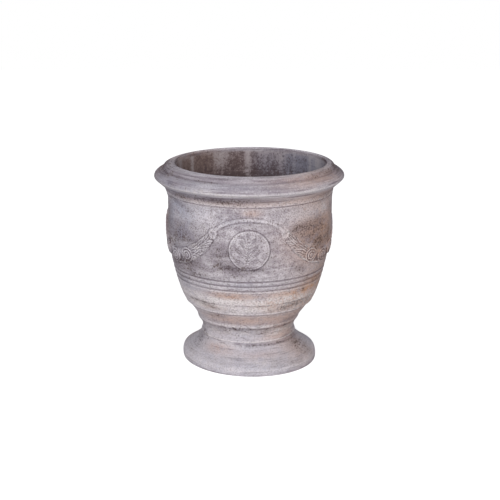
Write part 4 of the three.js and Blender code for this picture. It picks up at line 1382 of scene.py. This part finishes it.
def ribbon_path(angle):
    return np.stack([ribbon_span * np.cos(angle), RIBBON_RISE * np.sin(angle)], -1)


def ribbon_body():
    angles = np.linspace(ribbon_end + 0.16, math.pi - ribbon_end - 0.16, 141)[:, None]
    across = np.linspace(-1, 1, 31)[None, :]
    offset = across * (RIBBON_HALF + SKIRT_WIDTH - 0.1)
    v = offset / RIBBON_HALF
    relief = SKIRT + soft_step((1.1 - np.abs(v)) / 0.5) * (2.2 - 0.15 * v ** 2 - SKIRT)
    sink = soft_step((np.abs(across) - 0.93) / 0.07)
    relief = np.repeat(relief * (1 - sink) + ROOT * sink, len(angles), 0)
    relief[[0, -1]] = ROOT
    flat = beside(ribbon_path, angles, offset, 0.002)
    points, faces = closed_strip(np.concatenate([flat, relief[..., None]], -1))
    # Painted shade along both edges of the ribbon and a painted highlight along its crown.
    form = np.stack([0.95 * swell(np.abs(v), 1.15, 0.2), 0.35 * swell(v, 0, 0.8), 0 * v], -1)
    return points, faces, np.tile(form[0], (len(angles), 1))


ribbon = ribbon_body()
for bay in range(1, BAYS + 1):
    pressed(
        f"ribbon_{bay}", ribbon, (bay - 1) * BAY_ANGLE, RIBBON_CROWN - RIBBON_RISE,
        f"arch_ribbon_{bay}",
    )
print("half span of a ribbon, mm:", round(ribbon_span, 1))

# %% [markdown]
# A knot is a loop of the ribbon, drawn out upwards, with a hollow in the middle. It is turned as
# a round ring and then stretched on the board before it is pressed on.

# %% Knots
KNOT_RADIUS = 11.5
KNOT_RISE = 2.4
KNOT_STRETCH = 1.1
KNOT_TAPER = 0.22
KNOT_LEAN = math.radians(14)
knot = disc_outline(
    KNOT_RADIUS,
    lambda r: 0.9 + KNOT_RISE * swell(r, 0.66, 0.3) - 0.5 * swell(r, 1.0, 0.15),
    # Painted shade in the middle of the loop and a painted highlight on its roll.
    lambda r: 0.6 * soft_step((0.4 - r) / 0.25) - 0.5 * swell(r, 1.0, 0.1),
    lambda r: 0.35 * swell(r, 0.68, 0.25),
    count=34, skirt=1.4, edge=0.5,
)
points, faces, form = board_disc("knot_loop", knot, 44)
drawn = points * (1, KNOT_STRETCH, 1)
drawn[:, 0] *= 1 + KNOT_TAPER * points[:, 1] / KNOT_RADIUS
for number in range(1, 2 * BAYS + 1):
    bay, second = divmod(number - 1, 2)
    side = 1 if second else -1
    cos, sin = math.cos(KNOT_LEAN), math.sin(-side * KNOT_LEAN)
    leaning = drawn @ np.array([(cos, sin, 0), (-sin, cos, 0), (0, 0, 1)])
    pressed(
        f"knot_loop_{number}", (leaning, faces, form),
        bay * BAY_ANGLE + side * KNOT_ANGLE, KNOT_HEIGHT, f"knot_{number}",
    )
print("points in a knot:", len(points))

# %% [markdown]
# At the end the pieces of the finished urn and their triangles are counted.

# %% Pieces and triangles
pieces = [obj for obj in scene.objects if obj.type == "MESH" and obj.data.attributes.get("weather")]
triangles = [sum(len(face.vertices) - 2 for face in obj.data.polygons) for obj in pieces]
print("pieces:", len(pieces), "triangles:", sum(triangles), "most in one:", max(triangles))
